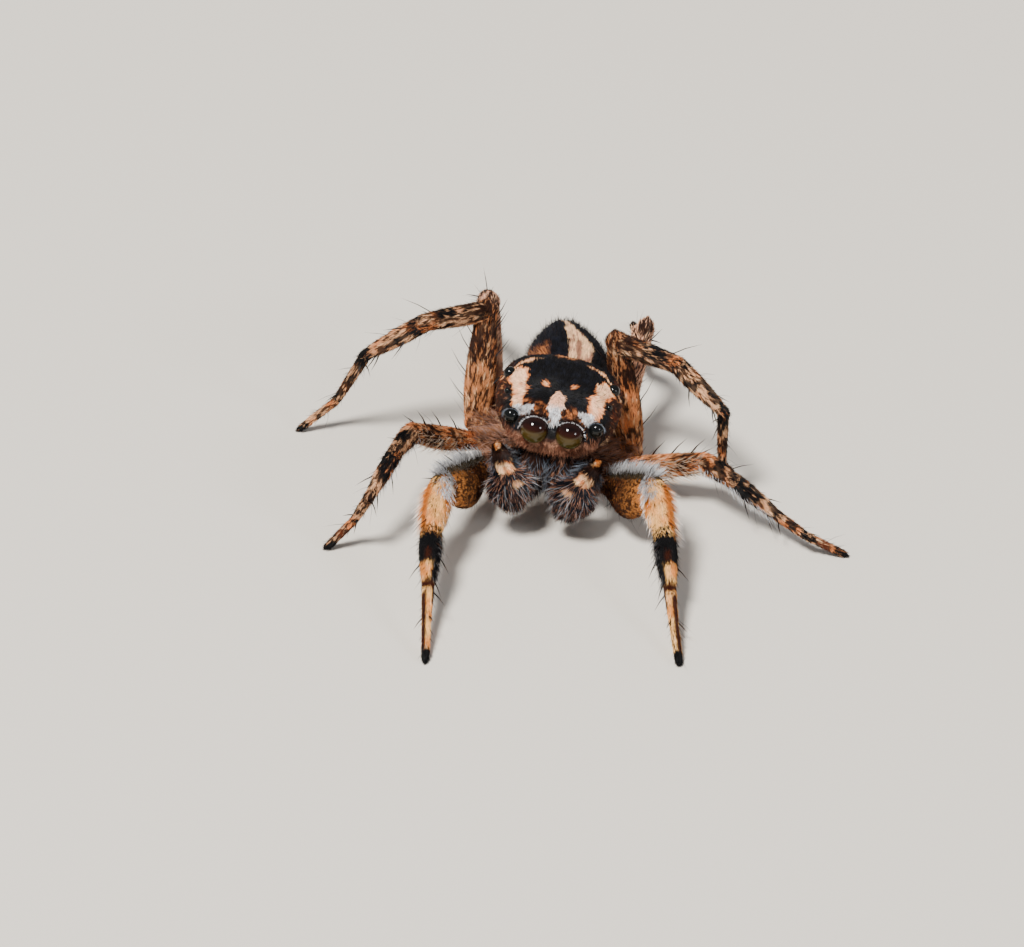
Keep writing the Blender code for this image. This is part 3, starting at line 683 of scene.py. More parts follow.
def paint_palp(form, places):
    """Orange over the knee, then a dark fan, two pale squares, and a blue-black club."""
    share, angle, point = places["share"], places["angle"], places["point"]
    tone = value_noise(point, 0.05, 41)
    knee = HEAD @ on_side(PALP_JOINTS[1], form.side)
    rise = (point[:, 2] - knee.z) / PALP_RADII[1]
    arc = blend(AMBER, CREAM, ramp(0.45, 0.7, tone))
    if form.segment in ("coxa", "femur"):
        colour = blend(GREY, PINK_TAN, tone)
        colour = blend(colour, DARK_BROWN, 0.7 * ramp(0.45, 0.7, value_noise(point, 0.04, 42)))
        colour = blend(colour, DARK_BROWN, ramp(0.70, 0.86, share))
        return blend(colour, arc, ramp(0.85, 0.95, share) * ramp(0.42, 0.56, rise))
    if form.segment == "tibia":
        colour = blend(DARK_BROWN, arc, ramp(0.42, 0.56, rise))
        squares = ramp(0.26, 0.34, share) * (1 - ramp(0.86, 0.94, share)) * arc_weight(angle, 0, 62)
        gap = 1 - arc_weight(angle, 0, 3)
        return blend(colour, blend(CREAM, ORANGE, ramp(0.4, 0.8, tone)), squares * gap)
    colour = blend(BLUE_BLACK, BLACK, ramp(0.3, 0.7, tone))
    fleck = ramp(0.70, 0.78, value_noise(point, 0.035, 43))
    colour = blend(colour, PINK_TAN, 0.85 * fleck)
    return blend(colour, blend(AMBER, CREAM, tone), club_spot(places))


def paint_chelicera(form, places):
    tone = value_noise(places["point"], 0.05, 51)
    colour = blend(DARK_BROWN, PINK_TAN, 0.6 * ramp(0.50, 0.75, tone))
    return blend(colour, BLACK, 0.7 * ramp(0.25, 0.6, places["share"]))


def inside_outline(outline, x, y):
    """1 inside a closed outline given as corner points, row by row."""
    inside = np.zeros(len(x), bool)
    for (ax, ay), (bx, by) in zip(outline, outline[1:] + outline[:1]):
        crosses = (ay > y) != (by > y)
        reach = ax + (y - ay) * (bx - ax) / (by - ay if by != ay else 1e-9)
        inside ^= crosses & (x < reach)
    return inside.astype(float)


SIDE_PATCH = [
    (0.69, 1.02), (0.56, 0.92), (0.44, 0.78), (0.45, 0.62), (0.39, 0.50), (0.41, 0.34), (0.45, 0.20),
    (0.56, 0.20), (0.60, 0.36), (0.60, 0.52), (0.68, 0.66), (0.72, 0.82),
]
WEDGE = [
    (0.0, 0.50), (0.07, 0.36), (0.11, 0.20), (0.05, 0.02), (-0.05, 0.02), (-0.11, 0.20), (-0.07, 0.36),
]
REAR_STRIPE_HALF = 0.16


def front_tufts(places):
    """1 in the white tufts over the front eyes."""
    x, y, z = to_local(HEAD, places["point"]).T
    out = np.abs(x)
    outer = np.hypot((out - 0.46) / 0.15, (y - 0.15) / 0.10)
    inner = np.hypot(out / 0.07, (y - 0.06) / 0.12)
    ragged = 1.1 * (value_noise(places["point"], 0.045, 67) - 0.5)
    return (1 - ramp(0.75, 1.05, np.minimum(outer, inner) + ragged)) * (z > 0.05)


def paint_carapace(form, places):
    point = places["point"]
    x, y, z = to_local(HEAD, point).T
    wobble = value_noise(point, 0.07, 61) - 0.5
    wobble_two = value_noise(point, 0.07, 62) - 0.5
    out = np.abs(x) + wobble * 0.07
    back = y + wobble_two * 0.09
    tone = value_noise(point, 0.04, 63)
    colour = blend(BLACK, BLUE_BLACK, 0.6 * ramp(0.5, 0.8, tone))
    side = blend(DARK_BROWN, RED_BROWN, ramp(0.55, 0.8, tone))
    side = blend(side, TAN, 0.7 * ramp(0.74, 0.82, value_noise(point, 0.03, 64)))
    colour = blend(colour, side, ramp(0.64, 0.74, out) * (1 - ramp(0.02, 0.16, z - 0.12)))
    patch = inside_outline(SIDE_PATCH, out, back) * (z > 0)
    edge = inside_outline(SIDE_PATCH, 0.54 + (out - 0.54) * 1.22, 0.60 + (back - 0.60) * 1.10)
    fill = blend(PINK_CREAM, CREAM, tone)
    fill = blend(fill, ORANGE, 0.6 * ramp(0.63, 0.72, value_noise(point, 0.06, 65)))
    colour = blend(colour, blend(ORANGE, fill, edge), patch)
    spot = np.hypot((out - 0.165) / 0.055, (back - 0.580) / 0.045)
    colour = blend(colour, blend(ORANGE, CREAM, 1 - ramp(0.1, 0.5, spot)), 1 - ramp(0.8, 1.05, spot))
    band = ramp(0.05, 0.12, out) * (1 - ramp(0.44, 0.52, out)) * ramp(0.02, 0.08, y)
    band = band * (1 - ramp(0.20, 0.32, back + wobble * 0.15)) * (z > 0.1)
    hair = blend(DARK_BROWN, ORANGE, 0.8 * ramp(0.45, 0.75, tone))
    colour = blend(colour, hair, 0.85 * band)
    wedge = blend(PINK_CREAM, WHITE, 1 - ramp(0.1, 0.3, y))
    colour = blend(colour, wedge, inside_outline(WEDGE, x + wobble * 0.04, back))
    colour = blend(colour, WHITE, 0.9 * front_tufts(places))
    rim = 1 - ramp(0.012, 0.032, np.abs(y - 1.19 + 0.40 * out * out + wobble * 0.04))
    colour = blend(colour, blend(ORANGE, CREAM, tone), rim * ramp(0.28, 0.40, out) * (z > 0.05))
    stripe = 1 - ramp(REAR_STRIPE_HALF * 0.8, REAR_STRIPE_HALF * 1.2, np.abs(x))
    rear_stripe = blend(BLACK, TAN, stripe * ramp(0.3, 0.6, tone))
    colour = blend(colour, rear_stripe, ramp(1.22, 1.36, back) * (z > -0.5))
    lower = ramp(0.26, 0.34, -z) * ramp(0.1, 0.3, y)
    colour = blend(colour, blend(PINK_TAN * 0.7, PINK_CREAM * 0.9, tone), 0.9 * lower)
    face = (1 - ramp(0.10, 0.20, y)) * (1 - ramp(-0.12, 0.0, z))
    face_tone = blend(PINK_TAN * 0.8, PINK_TAN * 0.6, tone)
    face_tone = blend(face_tone, RED_BROWN, 0.85 * ramp(0.36, 0.56, value_noise(point, 0.05, 66)))
    return blend(colour, face_tone, face)


def stripe_line(back):
    """Middle and half width of the abdomen's pale stripe."""
    middle = np.interp(back, (0.1, 0.45, 0.92, 1.6), (0.05, 0.09, -0.03, -0.05))
    half = np.interp(back, (0.0, 0.15, 0.45, 0.92, 1.0, 1.7), (0.11, 0.135, 0.175, 0.09, 0.05, 0.02))
    return middle, half


def paint_abdomen(form, places):
    x, y, z = to_local(ABDOMEN_FRAME, places["point"]).T
    fine = streaks(form, places, 0.16, 0.03, 71)
    tone = value_noise(places["point"], 0.06, 72)
    colour = blend(BLACK, BLUE_BLACK, ramp(0.4, 0.8, tone))
    middle, half = stripe_line(y)
    stripe = (1 - ramp(-0.008, 0.008, np.abs(x + (tone - 0.5) * 0.03 - middle) - half)) * (z > 0.05)
    lined = blend(CREAM * 0.9, PINK_TAN, ramp(0.5, 0.62, fine))
    lined = blend(lined, DARK_BROWN, 0.45 * ramp(0.66, 0.74, fine))
    colour = blend(colour, lined, stripe)
    flank = ramp(0.0, 0.10, 0.16 - z) * (1 - ramp(1.2, 1.6, y))
    flank = np.maximum(flank, ramp(0.30, 0.38, -x) * (1 - ramp(0.40, 0.60, y)))
    tan = blend(blend(ORANGE, TAN, tone), DARK_BROWN, 0.8 * ramp(0.56, 0.66, fine))
    colour = blend(colour, tan, 0.85 * flank)
    return blend(colour, blend(TAN, GREY, tone), 0.8 * ramp(0.15, 0.3, -z))


def paint_sternum(form, places):
    tone = value_noise(places["point"], 0.06, 81)
    return blend(DARK_BROWN, TAN, ramp(0.4, 0.8, tone))


PAINTERS = {
    "leg": paint_leg, "coxa": paint_coxa, "palp": paint_palp, "chelicera": paint_chelicera,
    "carapace": paint_carapace, "abdomen": paint_abdomen, "sternum": paint_sternum,
}


def paint(form, places):
    return np.clip(PAINTERS[form.kind](form, places), 0, 1)


def show(name, data, place=(0, 0, 0), facing=None):
    """Put a new object into the scene, with its own -Z turned the given way."""
    thing = bpy.data.objects.new(name, data)
    thing.location = place
    if facing:
        thing.rotation_euler = facing.to_track_quat("-Z", "Y").to_euler()
    bpy.context.scene.collection.objects.link(thing)
    return thing


def new_object(name, points, faces, colours, uvs=None, smooth=True):
    """An object in metres from points in mm, with its colours and its unwrap by point."""
    mesh = bpy.data.meshes.new(name)
    mesh.from_pydata((np.asarray(points) * TO_METRES).tolist(), [], faces)
    layer = mesh.color_attributes.new("Col", "FLOAT_COLOR", "POINT")
    rows = np.concatenate([colours, np.ones((len(colours), 1))], axis=1)
    layer.data.foreach_set("color", rows.astype(np.float32).ravel())
    if uvs is not None:
        layer = mesh.uv_layers.new(name="OFBake")
        corners = np.zeros(len(mesh.loops), np.int32)
        mesh.loops.foreach_get("vertex_index", corners)
        layer.data.foreach_set("uv", uvs[corners].astype(np.float32).ravel())
    if smooth:
        mesh.shade_smooth()
    return show(name, mesh)


def build_skin(forms):
    """One closed surface through all the forms: its points, its faces and their search tree."""
    points, faces = [], []
    offset = 0
    for form in forms:
        form_points, form_faces = form.mesh(INSET[form.kind])
        points.append(form_points)
        faces.extend(tuple(index + offset for index in face) for face in form_faces)
        offset += len(form_points)
    mesh = bpy.data.meshes.new("skin_draft")
    mesh.from_pydata(np.concatenate(points).tolist(), [], faces)
    draft = show("skin_draft", mesh)
    remesh = draft.modifiers.new("remesh", "REMESH")
    remesh.mode = "VOXEL"
    remesh.voxel_size = VOXEL
    remesh.adaptivity = 0.0
    soften = draft.modifiers.new("soften", "SMOOTH")
    soften.factor = SOFTEN_FACTOR
    soften.iterations = SOFTEN_TIMES
    bpy.context.view_layer.update()
    done = draft.evaluated_get(bpy.context.evaluated_depsgraph_get()).to_mesh()
    skin_points = np.zeros(len(done.vertices) * 3)
    done.vertices.foreach_get("co", skin_points)
    skin_points = skin_points.reshape(-1, 3)
    skin_faces = [tuple(face.vertices) for face in done.polygons]
    bpy.data.objects.remove(draft)
    tree = BVHTree.FromPolygons(skin_points.tolist(), skin_faces)
    return skin_points, skin_faces, tree


def nearest_colours(samples, colours, points):
    """For each point, the mean colour of the three nearest painted places."""
    tree = KDTree(len(samples))
    for index, sample in enumerate(samples.tolist()):
        tree.insert(sample, index)
    tree.balance()
    result = np.zeros((len(points), 3))
    for row, point in enumerate(points.tolist()):
        near = [index for _, index, _ in tree.find_n(point, 3)]
        result[row] = colours[near].mean(axis=0)
    return result


def some(places, keep):
    return {key: value[keep] for key, value in places.items()}


def settle(places, tree):
    """Move places onto the skin, and drop those that another form covers."""
    keep = np.zeros(len(places["share"]), bool)
    points = places["point"].copy()
    outward = places["outward"].copy()
    for row, point in enumerate(places["point"].tolist()):
        near, normal, _, _ = tree.find_nearest(point, SETTLE_REACH)
        if near is None or normal.dot(Vector(outward[row].tolist())) < SETTLE_FACING:
            continue
        keep[row] = True
        points[row] = near
        outward[row] = normal
    result = some(places, keep)
    result["point"] = points[keep]
    result["outward"] = unit(outward[keep] * 0.6 + result["outward"] * 0.4)
    return result


# A spike is the smallest hair: two corners and a ridge at its root, and its tip
SPIKE_FACES = np.array([(0, 2, 3), (2, 1, 3), (1, 0, 3), (0, 1, 2)])
# A leaf is a flat pointed hair: its root, two sides, tip and ridge
LEAF_FACES = np.array([(0, 1, 4), (0, 4, 2), (1, 3, 4), (4, 3, 2), (0, 2, 1), (1, 2, 3)])
# A prong is a standing hair or a spine: three corners at its root, three halfway, and its tip
PRONG_FACES = np.array([
    (0, 2, 1), (0, 1, 4), (0, 4, 3), (1, 2, 5), (1, 5, 4),
    (2, 0, 3), (2, 3, 5), (3, 4, 6), (4, 5, 6), (5, 3, 6),
])
# Where a prong has its corners: share of its length, and of its radius
PRONG_RINGS = ((0.0, 1.0), (0.5, 0.72))
PRONG_TURNS = (0, 120, 240)
# How deep flat hairs and prongs are rooted, and how far each kind bends over, against its length
FLAT_ROOT = 0.012
PRONG_ROOT = 0.02
LEAF_BEND = 0.25
HAIR_BEND = 0.3
SPINE_BEND = 0.25
# The unwrap: size of a hair's patch, where a form's rectangle starts in its cell, and how much
# smaller than the cell it is
PATCH = 0.003
CELL_START = 0.004
CELL_MARGIN = 0.012
# How much lighter a flat hair is at its tip
TIP_LIGHT = 1.12
# No hair comes nearer to the floor than this
FLOOR_CLEARANCE = 0.004


def hair_ways(places, lie, lean):
    """The lie along the surface, and the ways along, across and over each leaning hair."""
    outward = places["outward"]
    lie = unit(lie - outward * (lie * outward).sum(axis=1)[:, None])
    heading = outward * np.cos(lean)[:, None] + lie * np.sin(lean)[:, None]
    across = unit(np.cross(heading, outward))
    return lie, heading, across, unit(np.cross(across, heading))


class Coat:
    """Gathers the hairs of one piece, then makes its mesh."""

    def __init__(self, name, slot_name, tree, material, samples=None):
        self.name = name
        self.slot_name = slot_name
        self.tree = tree
        self.material = material
        self.samples = samples
        self.points = []
        self.faces = []
        self.colours = []
        self.uvs = []
        self.count = 0
        self.cells = {}

    def add(self, points, faces, colours, form, places):
        """points is hairs x corners x 3, faces is the same for each hair."""
        clear = points[:, :, 2].min(axis=1) > FLOOR_CLEARANCE
        points, colours, places = points[clear], colours[clear], some(places, clear)
        number, corners = points.shape[:2]
        index = (np.arange(number) * corners)[:, None, None] + faces[None] + self.count
        self.points.append(points.reshape(-1, 3))
        self.faces.append(index.reshape(-1, 3))
        self.colours.append(colours.reshape(-1, 3))
        cell = self.cells.setdefault(form.name, len(self.cells))
        turn = (places["angle"] / (2 * math.pi)) % 1.0
        low, high = form.shares[0], form.shares[-1]
        way = np.clip((places["share"] - low) / (high - low), 0, 1)
        share = np.linspace(0, 1, corners)
        offset = spread(share * PATCH * 0.6, (share * 7 % 1) * PATCH)
        self.uvs.append((cell, spread(turn, way), offset))
        self.count += number * corners

    def spikes(self, form, places, lie, lean, length, width, colours, tip_colours):
        _, heading, across, over = hair_ways(places, lie, lean)
        root = places["point"] - heading * FLAT_ROOT
        half = across * (width / 2)[:, None]
        ridge = root + over * (width * 0.4)[:, None]
        tip = root + heading * length[:, None] - places["outward"] * (length * 0.05)[:, None]
        points = np.stack([root - half, root + half, ridge, tip], axis=1)
        shades = np.stack([colours * 0.8, colours * 0.8, colours, tip_colours], axis=1)
        self.add(points, SPIKE_FACES, shades, form, places)

    def leaves(self, form, places, lie, lean, length, width, colours, tip_colours):
        outward = places["outward"]
        lie, heading, across, over = hair_ways(places, lie, lean)
        over = over * np.sign((over * outward).sum(axis=1))[:, None]
        size = length[:, None]
        root = places["point"] - heading * FLAT_ROOT
        middle = root + heading * size * 0.42 + lie * size * LEAF_BEND * 0.15
        tip = root + heading * size + lie * size * LEAF_BEND - outward * size * 0.06
        half = across * (width / 2)[:, None]
        ridge = middle + over * (width * 0.35)[:, None]
        points = np.stack([root, middle - half, middle + half, tip, ridge], axis=1)
        ridge_colours = blend(colours, tip_colours, 0.4)
        shades = np.stack([colours * 0.75, colours, colours, tip_colours, ridge_colours], axis=1)
        self.add(points, LEAF_FACES, shades, form, places)

    def prongs(self, form, places, lie, lean, length, radius, colours, tip_colours, bend=HAIR_BEND):
        lie, heading, across, over = hair_ways(places, lie, lean)
        size = length[:, None]
        root = places["point"] - heading * PRONG_ROOT
        corners = []
        for share, scale in PRONG_RINGS:
            centre = root + heading * size * share + lie * size * (bend * share * share)
            for turn in PRONG_TURNS:
                angle = math.radians(turn)
                arm = across * math.cos(angle) + over * math.sin(angle)
                corners.append(centre + arm * (radius * scale)[:, None])
        corners.append(root + heading * size + lie * size * bend)
        shades = [colours] * 3 + [blend(colours, tip_colours, 0.35)] * 3 + [tip_colours]
        self.add(np.stack(corners, axis=1), PRONG_FACES, np.stack(shades, axis=1), form, places)

    def build(self):
        """The unwrap gives each form a rectangle of the square, and each hair a patch in it."""
        columns = max(1, math.ceil(math.sqrt(len(self.cells))))
        size = 1.0 / columns
        uvs = []
        for cell, root, offset in self.uvs:
            corner = np.array((cell % columns, cell // columns), float) * size
            places = corner + CELL_START + root[:, None] * (size - CELL_MARGIN) + offset[None]
            uvs.append(places.reshape(-1, 2))
        faces = np.concatenate(self.faces)
        piece = new_object(
            self.name, np.concatenate(self.points), faces.tolist(), np.concatenate(self.colours),
            np.concatenate(uvs), smooth=False,
        )
        piece.data.materials.append(self.material)
        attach(piece, "root")
        print(self.name, len(faces), "triangles")


def vary(number, middle, share):
    """Random values up to a share above and below the middle."""
    return middle * (1 + (RANDOM.random(number) * 2 - 1) * share)


def jitter(lie, outward, amount):
    """Turn each lie a little about its root."""
    turn = (RANDOM.random(len(lie)) * 2 - 1) * amount
    across = unit(np.cross(outward, lie))
    return lie * np.cos(turn)[:, None] + across * np.sin(turn)[:, None]


def head_lie(places):
    """The lie of the hair on the head: back at the rear, sideways, then forward over the eyes."""
    x, y, z = to_local(HEAD, places["point"]).T
    turn = math.pi * (1 - ramp(0.10, 0.90, y))
    way = spread(np.tanh(x / 0.05) * np.sin(turn), np.cos(turn), 0.001)
    side = ramp(0.62, 0.76, np.abs(x)) * (1 - ramp(0.1, 0.25, z))
    way = blend(way, spread(0 * x, 0.5, -0.9), side)
    face = (1 - ramp(0.05, 0.2, y)) * (1 - ramp(-0.05, 0.05, z))
    way = blend(way, spread(x * 1.2, -0.2, -1.0), face)
    return unit(to_world_way(HEAD, way))


def eye_centre(name, side):
    out, back, up, _ = EYES[name]
    return HEAD @ on_side(Vector((out, back, up)), side)


def eye_distance(places):
    """How far each place is from the nearest eye's edge, and the way out from that eye."""
    nearest = np.full(len(places["share"]), 9.0)
    way = np.zeros((len(nearest), 3))
    for name in EYES:
        for side in SIDE_SIGN:
            offset = places["point"] - np.array(eye_centre(name, side))
            distance = np.linalg.norm(offset, axis=1) - EYES[name][3]
            closer = distance < nearest
            nearest[closer] = distance[closer]
            way[closer] = unit(offset[closer])
    return nearest, way


# How near to an eye flat and standing hair grow, and how far round it flat hair turns away from it
FLAT_EYE_GAP = 0.002
STANDING_EYE_GAP = 0.02
EYE_EDGE = (0.02, 0.10)


def lay_coat(coat, form, density, length, width, lean, first, last, leafy=False, half=None):
    """Short flat hair all over a form, or over one side of it."""
    number = int(form.area(first, last) * density)
    places = form.scatter(number, first, last, INSET[form.kind])
    if half:
        places = some(places, to_local(HEAD, places["point"])[:, 0] * SIDE_SIGN[half] > 0)
    places = settle(places, coat.tree)
    lie = places["along"]
    if form.kind == "carapace":
        places = some(places, eye_distance(places)[0] > FLAT_EYE_GAP)
        near, away = eye_distance(places)
        close = 1 - ramp(*EYE_EDGE, near)
        lie = blend(head_lie(places), away, 0.75 * close)
        length = length * (1 - 0.5 * close)
    colours = paint(form, places)
    coat.samples[0].append(places["point"])
    coat.samples[1].append(colours)
    count = len(colours)
    colours = np.clip(colours * vary(count, 1.0, 0.22)[:, None], 0, 1)
    lie = jitter(unit(lie), places["outward"], 0.35)
    angle = np.radians(vary(count, lean, 0.14))
    make = coat.leaves if leafy else coat.spikes
    make(
        form, places, lie, angle, vary(count, length, 0.3), vary(count, width, 0.2), colours,
        np.clip(colours * TIP_LIGHT, 0, 1),
    )


def stand_hairs(coat, form, number, first, last, middle, half, length, radius, lean, colour, tip,
                amount=0.35, where=None):
    """Longer hairs on an arc of a form, and only where the given rule has them."""
    places = form.scatter(number, first, last, INSET[form.kind])
    chance = arc_weight(places["angle"], middle, half)
    if where:
        chance = chance * where(places)
    places = some(places, RANDOM.random(number) < chance)
    places = settle(places, coat.tree)
    if form.kind == "carapace":
        places = some(places, eye_distance(places)[0] > STANDING_EYE_GAP)
    count = len(places["share"])
    if count == 0:
        return
    way = head_lie(places) if form.kind == "carapace" else places["along"]
    way = jitter(way, places["outward"], amount)
    base = colour * vary(count, 1.0, 0.2)[:, None]
    ends = tip * vary(count, 1.0, 0.15)[:, None]
    coat.prongs(
        form, places, way, np.radians(vary(count, lean, 0.22)), vary(count, length, 0.3),
        vary(count, radius, 0.2), np.clip(base, 0, 1), np.clip(ends, 0, 1),
    )


def stand_rows(coat, form, rows):
    for row in rows:
        stand_hairs(coat, form, *row)


# Spines: place along the segment, degrees from its back towards the leg's front, length
SPINES = {
    "femur": ((0.36, 0, 0.24), (0.60, 0, 0.27), (0.84, 8, 0.28), (0.88, 55, 0.22), (0.88, -50, 0.22)),
    "patella": ((0.88, 0, 0.40),),
    "tibia": (
        (0.30, 65, 0.24), (0.62, -65, 0.24), (0.40, 155, 0.24), (0.86, 160, 0.22), (0.84, -160, 0.22),
    ),
    "metatarsus": ((0.16, 130, 0.22), (0.18, -130, 0.22), (0.86, 70, 0.16), (0.86, -70, 0.16)),
    "tarsus": (),
}
HIND_FEMUR_SPINES = ((0.22, 180, 0.32), (0.44, 172, 0.34), (0.64, 180, 0.34), (0.78, 170, 0.34))
# Spines longer than this have the thin radius, and the others the thick one. All lean alike, in
# degrees, and are a little longer for their roots
LONG_SPINE = 0.3
THIN_SPINE = 0.009
THICK_SPINE = 0.013
SPINE_LEAN = 42.0
SPINE_BURIED = 0.03


def add_spines(coat, form):
    rows = SPINES[form.segment]
    if form.segment == "femur" and form.pair > 2:
        rows = rows + HIND_FEMUR_SPINES
    if not rows:
        return
    share, turn, length = np.array(rows, float).T
    places = form.places(share, np.radians(turn), INSET["leg"])
    count = len(rows)
    coat.prongs(
        form, places, places["along"], np.radians(np.full(count, SPINE_LEAN)), length + SPINE_BURIED,
        np.where(length > LONG_SPINE, THIN_SPINE, THICK_SPINE), np.tile(BLACK * 0.8, (count, 1)),
        np.tile(DARK_BROWN, (count, 1)), SPINE_BEND,
    )


# Finishes: range of tone, range of roughness, grain in mm, strength of the bump, specular level
FINISHES = {
    "coat_finish": ((0.84, 1.16), (0.52, 0.72), 0.006, 0.25, 0.14),
    "spine_finish": ((0.8, 1.4), (0.28, 0.42), 0.008, 0.3, 0.3),
    "skin_finish": ((0.8, 1.2), (0.5, 0.7), 0.016, 0.6, 0.2),
    "eye_finish": ((0.85, 1.15), (0.03, 0.07), 0.03, 0.01, 0.28),
}
# Cells of the noise in tone and gloss and height of the bump, in mm, then the detail of the noise
# and the span of its values that is stretched
TONE_CELL = 0.09
GLOSS_CELL = 0.05
BUMP_HEIGHT = 0.002
NOISE_DETAIL = 3.0
NOISE_SPAN = (0.3, 0.7)


def set_inputs(node, inputs):
    """Set a node's inputs to values, or link them to other nodes' outputs."""
    for name, value in inputs.items():
        if isinstance(value, bpy.types.NodeSocket):
            node.id_data.links.new(value, node.inputs[name])
        else:
            node.inputs[name].default_value = value


def noise_range(tree, place, cell, low, high):
    """Noise over the object, cell millimetres wide, stretched between two values."""
    noise = tree.nodes.new("ShaderNodeTexNoise")
    vector = place.outputs["Object"]
    set_inputs(noise, {"Scale": 1 / (cell * TO_METRES), "Detail": NOISE_DETAIL, "Vector": vector})
    reach = tree.nodes.new("ShaderNodeMapRange")
    least, most = NOISE_SPAN
    set_inputs(reach, {"From Min": least, "From Max": most, "To Min": low, "To Max": high})
    set_inputs(reach, {"Value": noise.outputs["Fac"]})
    return reach.outputs["Result"]


def painted_finish(name):
    """The painted colours of the mesh, varied in tone and gloss, with a fine grain."""
    tones, gloss, grain, bump_strength, specular = FINISHES[name]
    material = bpy.data.materials.new(name)
    material.use_nodes = True
    tree = material.node_tree
    shader = tree.nodes["Principled BSDF"]
    place = tree.nodes.new("ShaderNodeTexCoord")
    paint_node = tree.nodes.new("ShaderNodeVertexColor")
    paint_node.layer_name = "Col"
    tone = tree.nodes.new("ShaderNodeVectorMath")
    tone.operation = "SCALE"
    set_inputs(tone, {"Vector": paint_node.outputs["Color"]})
    set_inputs(tone, {"Scale": noise_range(tree, place, TONE_CELL, *tones)})
    set_inputs(shader, {"Base Color": tone.outputs["Vector"], "Specular IOR Level": specular})
    set_inputs(shader, {"Roughness": noise_range(tree, place, GLOSS_CELL, *gloss)})
    bump = tree.nodes.new("ShaderNodeBump")
    set_inputs(bump, {"Strength": bump_strength, "Distance": BUMP_HEIGHT * TO_METRES})
    set_inputs(bump, {"Height": noise_range(tree, place, grain, 0.0, 1.0)})
    set_inputs(shader, {"Normal": bump.outputs["Normal"]})
    return material


EYE_SEGMENTS = 48
EYE_RINGS = 32


def eye_object(name, centre, radius, colours_for):
    """A smooth ball whose colours are painted by the way out from its centre."""
    ways = [(0.0, 0.0, 1.0)]
    for row in range(1, EYE_RINGS):
        polar = math.pi * row / EYE_RINGS
        for column in range(EYE_SEGMENTS):
            turn = 2 * math.pi * column / EYE_SEGMENTS
            flat = math.sin(polar)
            ways.append((flat * math.cos(turn), flat * math.sin(turn), math.cos(polar)))
    ways.append((0.0, 0.0, -1.0))
    ring = around(EYE_SEGMENTS)
    faces = [(1 + here, 1 + after, 0) for here, after in ring]
    for row in range(EYE_RINGS - 2):
        low = 1 + row * EYE_SEGMENTS
        high = low + EYE_SEGMENTS
        faces += [(low + here, high + here, high + after, low + after) for here, after in ring]
    faces += [(high + here, len(ways) - 1, high + after) for here, after in ring]
    ways = np.array(ways)
    points = np.array(centre) + to_world_way(HEAD, ways) * radius
    return new_object(name, points, faces, colours_for(ways))


def big_eye_colours(ways):
    """Dark above, olive gold below as a painted reflection of the ground, with a red-brown rim."""
    height = ways[:, 2]
    rim = np.hypot(ways[:, 0], height)
    # Painted reflection of the ground: olive gold on the lower half, brightest towards the bottom. Above it
    # the lens is dark red-brown, then black
    colour = blend(srgb(60, 48, 20), srgb(34, 12, 7), ramp(0.12, 0.44, height))
    colour = blend(colour, srgb(10, 5, 5), ramp(0.50, 0.85, height))
    colour = blend(colour, srgb(72, 66, 28), ramp(0.10, 0.60, -height))
    return blend(colour, srgb(24, 9, 7), ramp(0.82, 0.95, rim))


def small_eye_colours(ways):
    return blend(srgb(11, 13, 13), srgb(36, 37, 28), ramp(0.1, 0.7, -ways[:, 2]))


def build_eyes(material):
    for name in EYES:
        for side in SIDE_SIGN:
            painter = big_eye_colours if name == "eye_front_middle" else small_eye_colours
            eye = eye_object(f"{name}_{side}_lens", eye_centre(name, side), EYES[name][3], painter)
            eye.data.materials.append(material)
            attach(eye, "root")
            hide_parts(f"{name}_{side}")


# Colours of the rims of the front eyes, below and above
RIM_SHADES = {"eye_front_middle": (PINK_TAN, WHITE), "eye_front_side": (DARK_BROWN, BLUE_GREY)}
# Rings of that hair: radius against the eye's, number, length, depth behind its middle, and
# whether it stands on the skin
RIM_RINGS = ((1.00, 200, 0.034, -0.02, False), (1.08, 260, 0.040, 0.04, True))
RIM_LEAN = 62
RIM_RADIUS = 0.0045


def eye_rims(coat, form):
    """Short hairs that ring the front eyes: pale at the rim, dark brown above."""
    for name, (low_shade, rim_shade) in RIM_SHADES.items():
        out, back, up, radius = EYES[name]
        for side in SIDE_SIGN:
            centre = Vector((SIDE_SIGN[side] * out, back, up))
            for ring, number, length, depth, on_skin in RIM_RINGS:
                turn = RANDOM.random(number) * 2 * math.pi
                if on_skin:
                    turn = math.pi * (0.08 + 0.84 * RANDOM.random(number))
                size = radius * ring * (1 + 0.03 * RANDOM.random(number))
                radial = spread(np.cos(turn), 0.0, np.sin(turn))
                local = np.array(centre) + radial * size[:, None] + (0, depth, 0)
                places = {
                    "share": np.full(number, back), "angle": turn, "point": to_world(HEAD, local),
                    "outward": unit(to_world_way(HEAD, spread(0 * turn, -1.0, 0 * turn))),
                    "along": unit(to_world_way(HEAD, radial)),
                }
                if on_skin:
                    places = settle(places, coat.tree)
                number = len(places["share"])
                shade = DARK_BROWN if on_skin else rim_shade
                colours = blend(low_shade, shade, ramp(-0.6, 0.3, np.sin(places["angle"])))
                coat.prongs(
                    form, places, jitter(places["along"], places["outward"], 0.4),
                    np.radians(vary(number, RIM_LEAN, 0.2)), vary(number, length, 0.3),
                    vary(number, RIM_RADIUS, 0.2), colours, colours,
                )


def off_stripe(places):
    """1 away from the abdomen's pale stripe."""
    x, y, _ = to_local(ABDOMEN_FRAME, places["point"]).T
    middle, half = stripe_line(y)
    return (np.abs(x - middle) > half + 0.01).astype(float)


def off_spot(places):
    return 1 - club_spot(places)


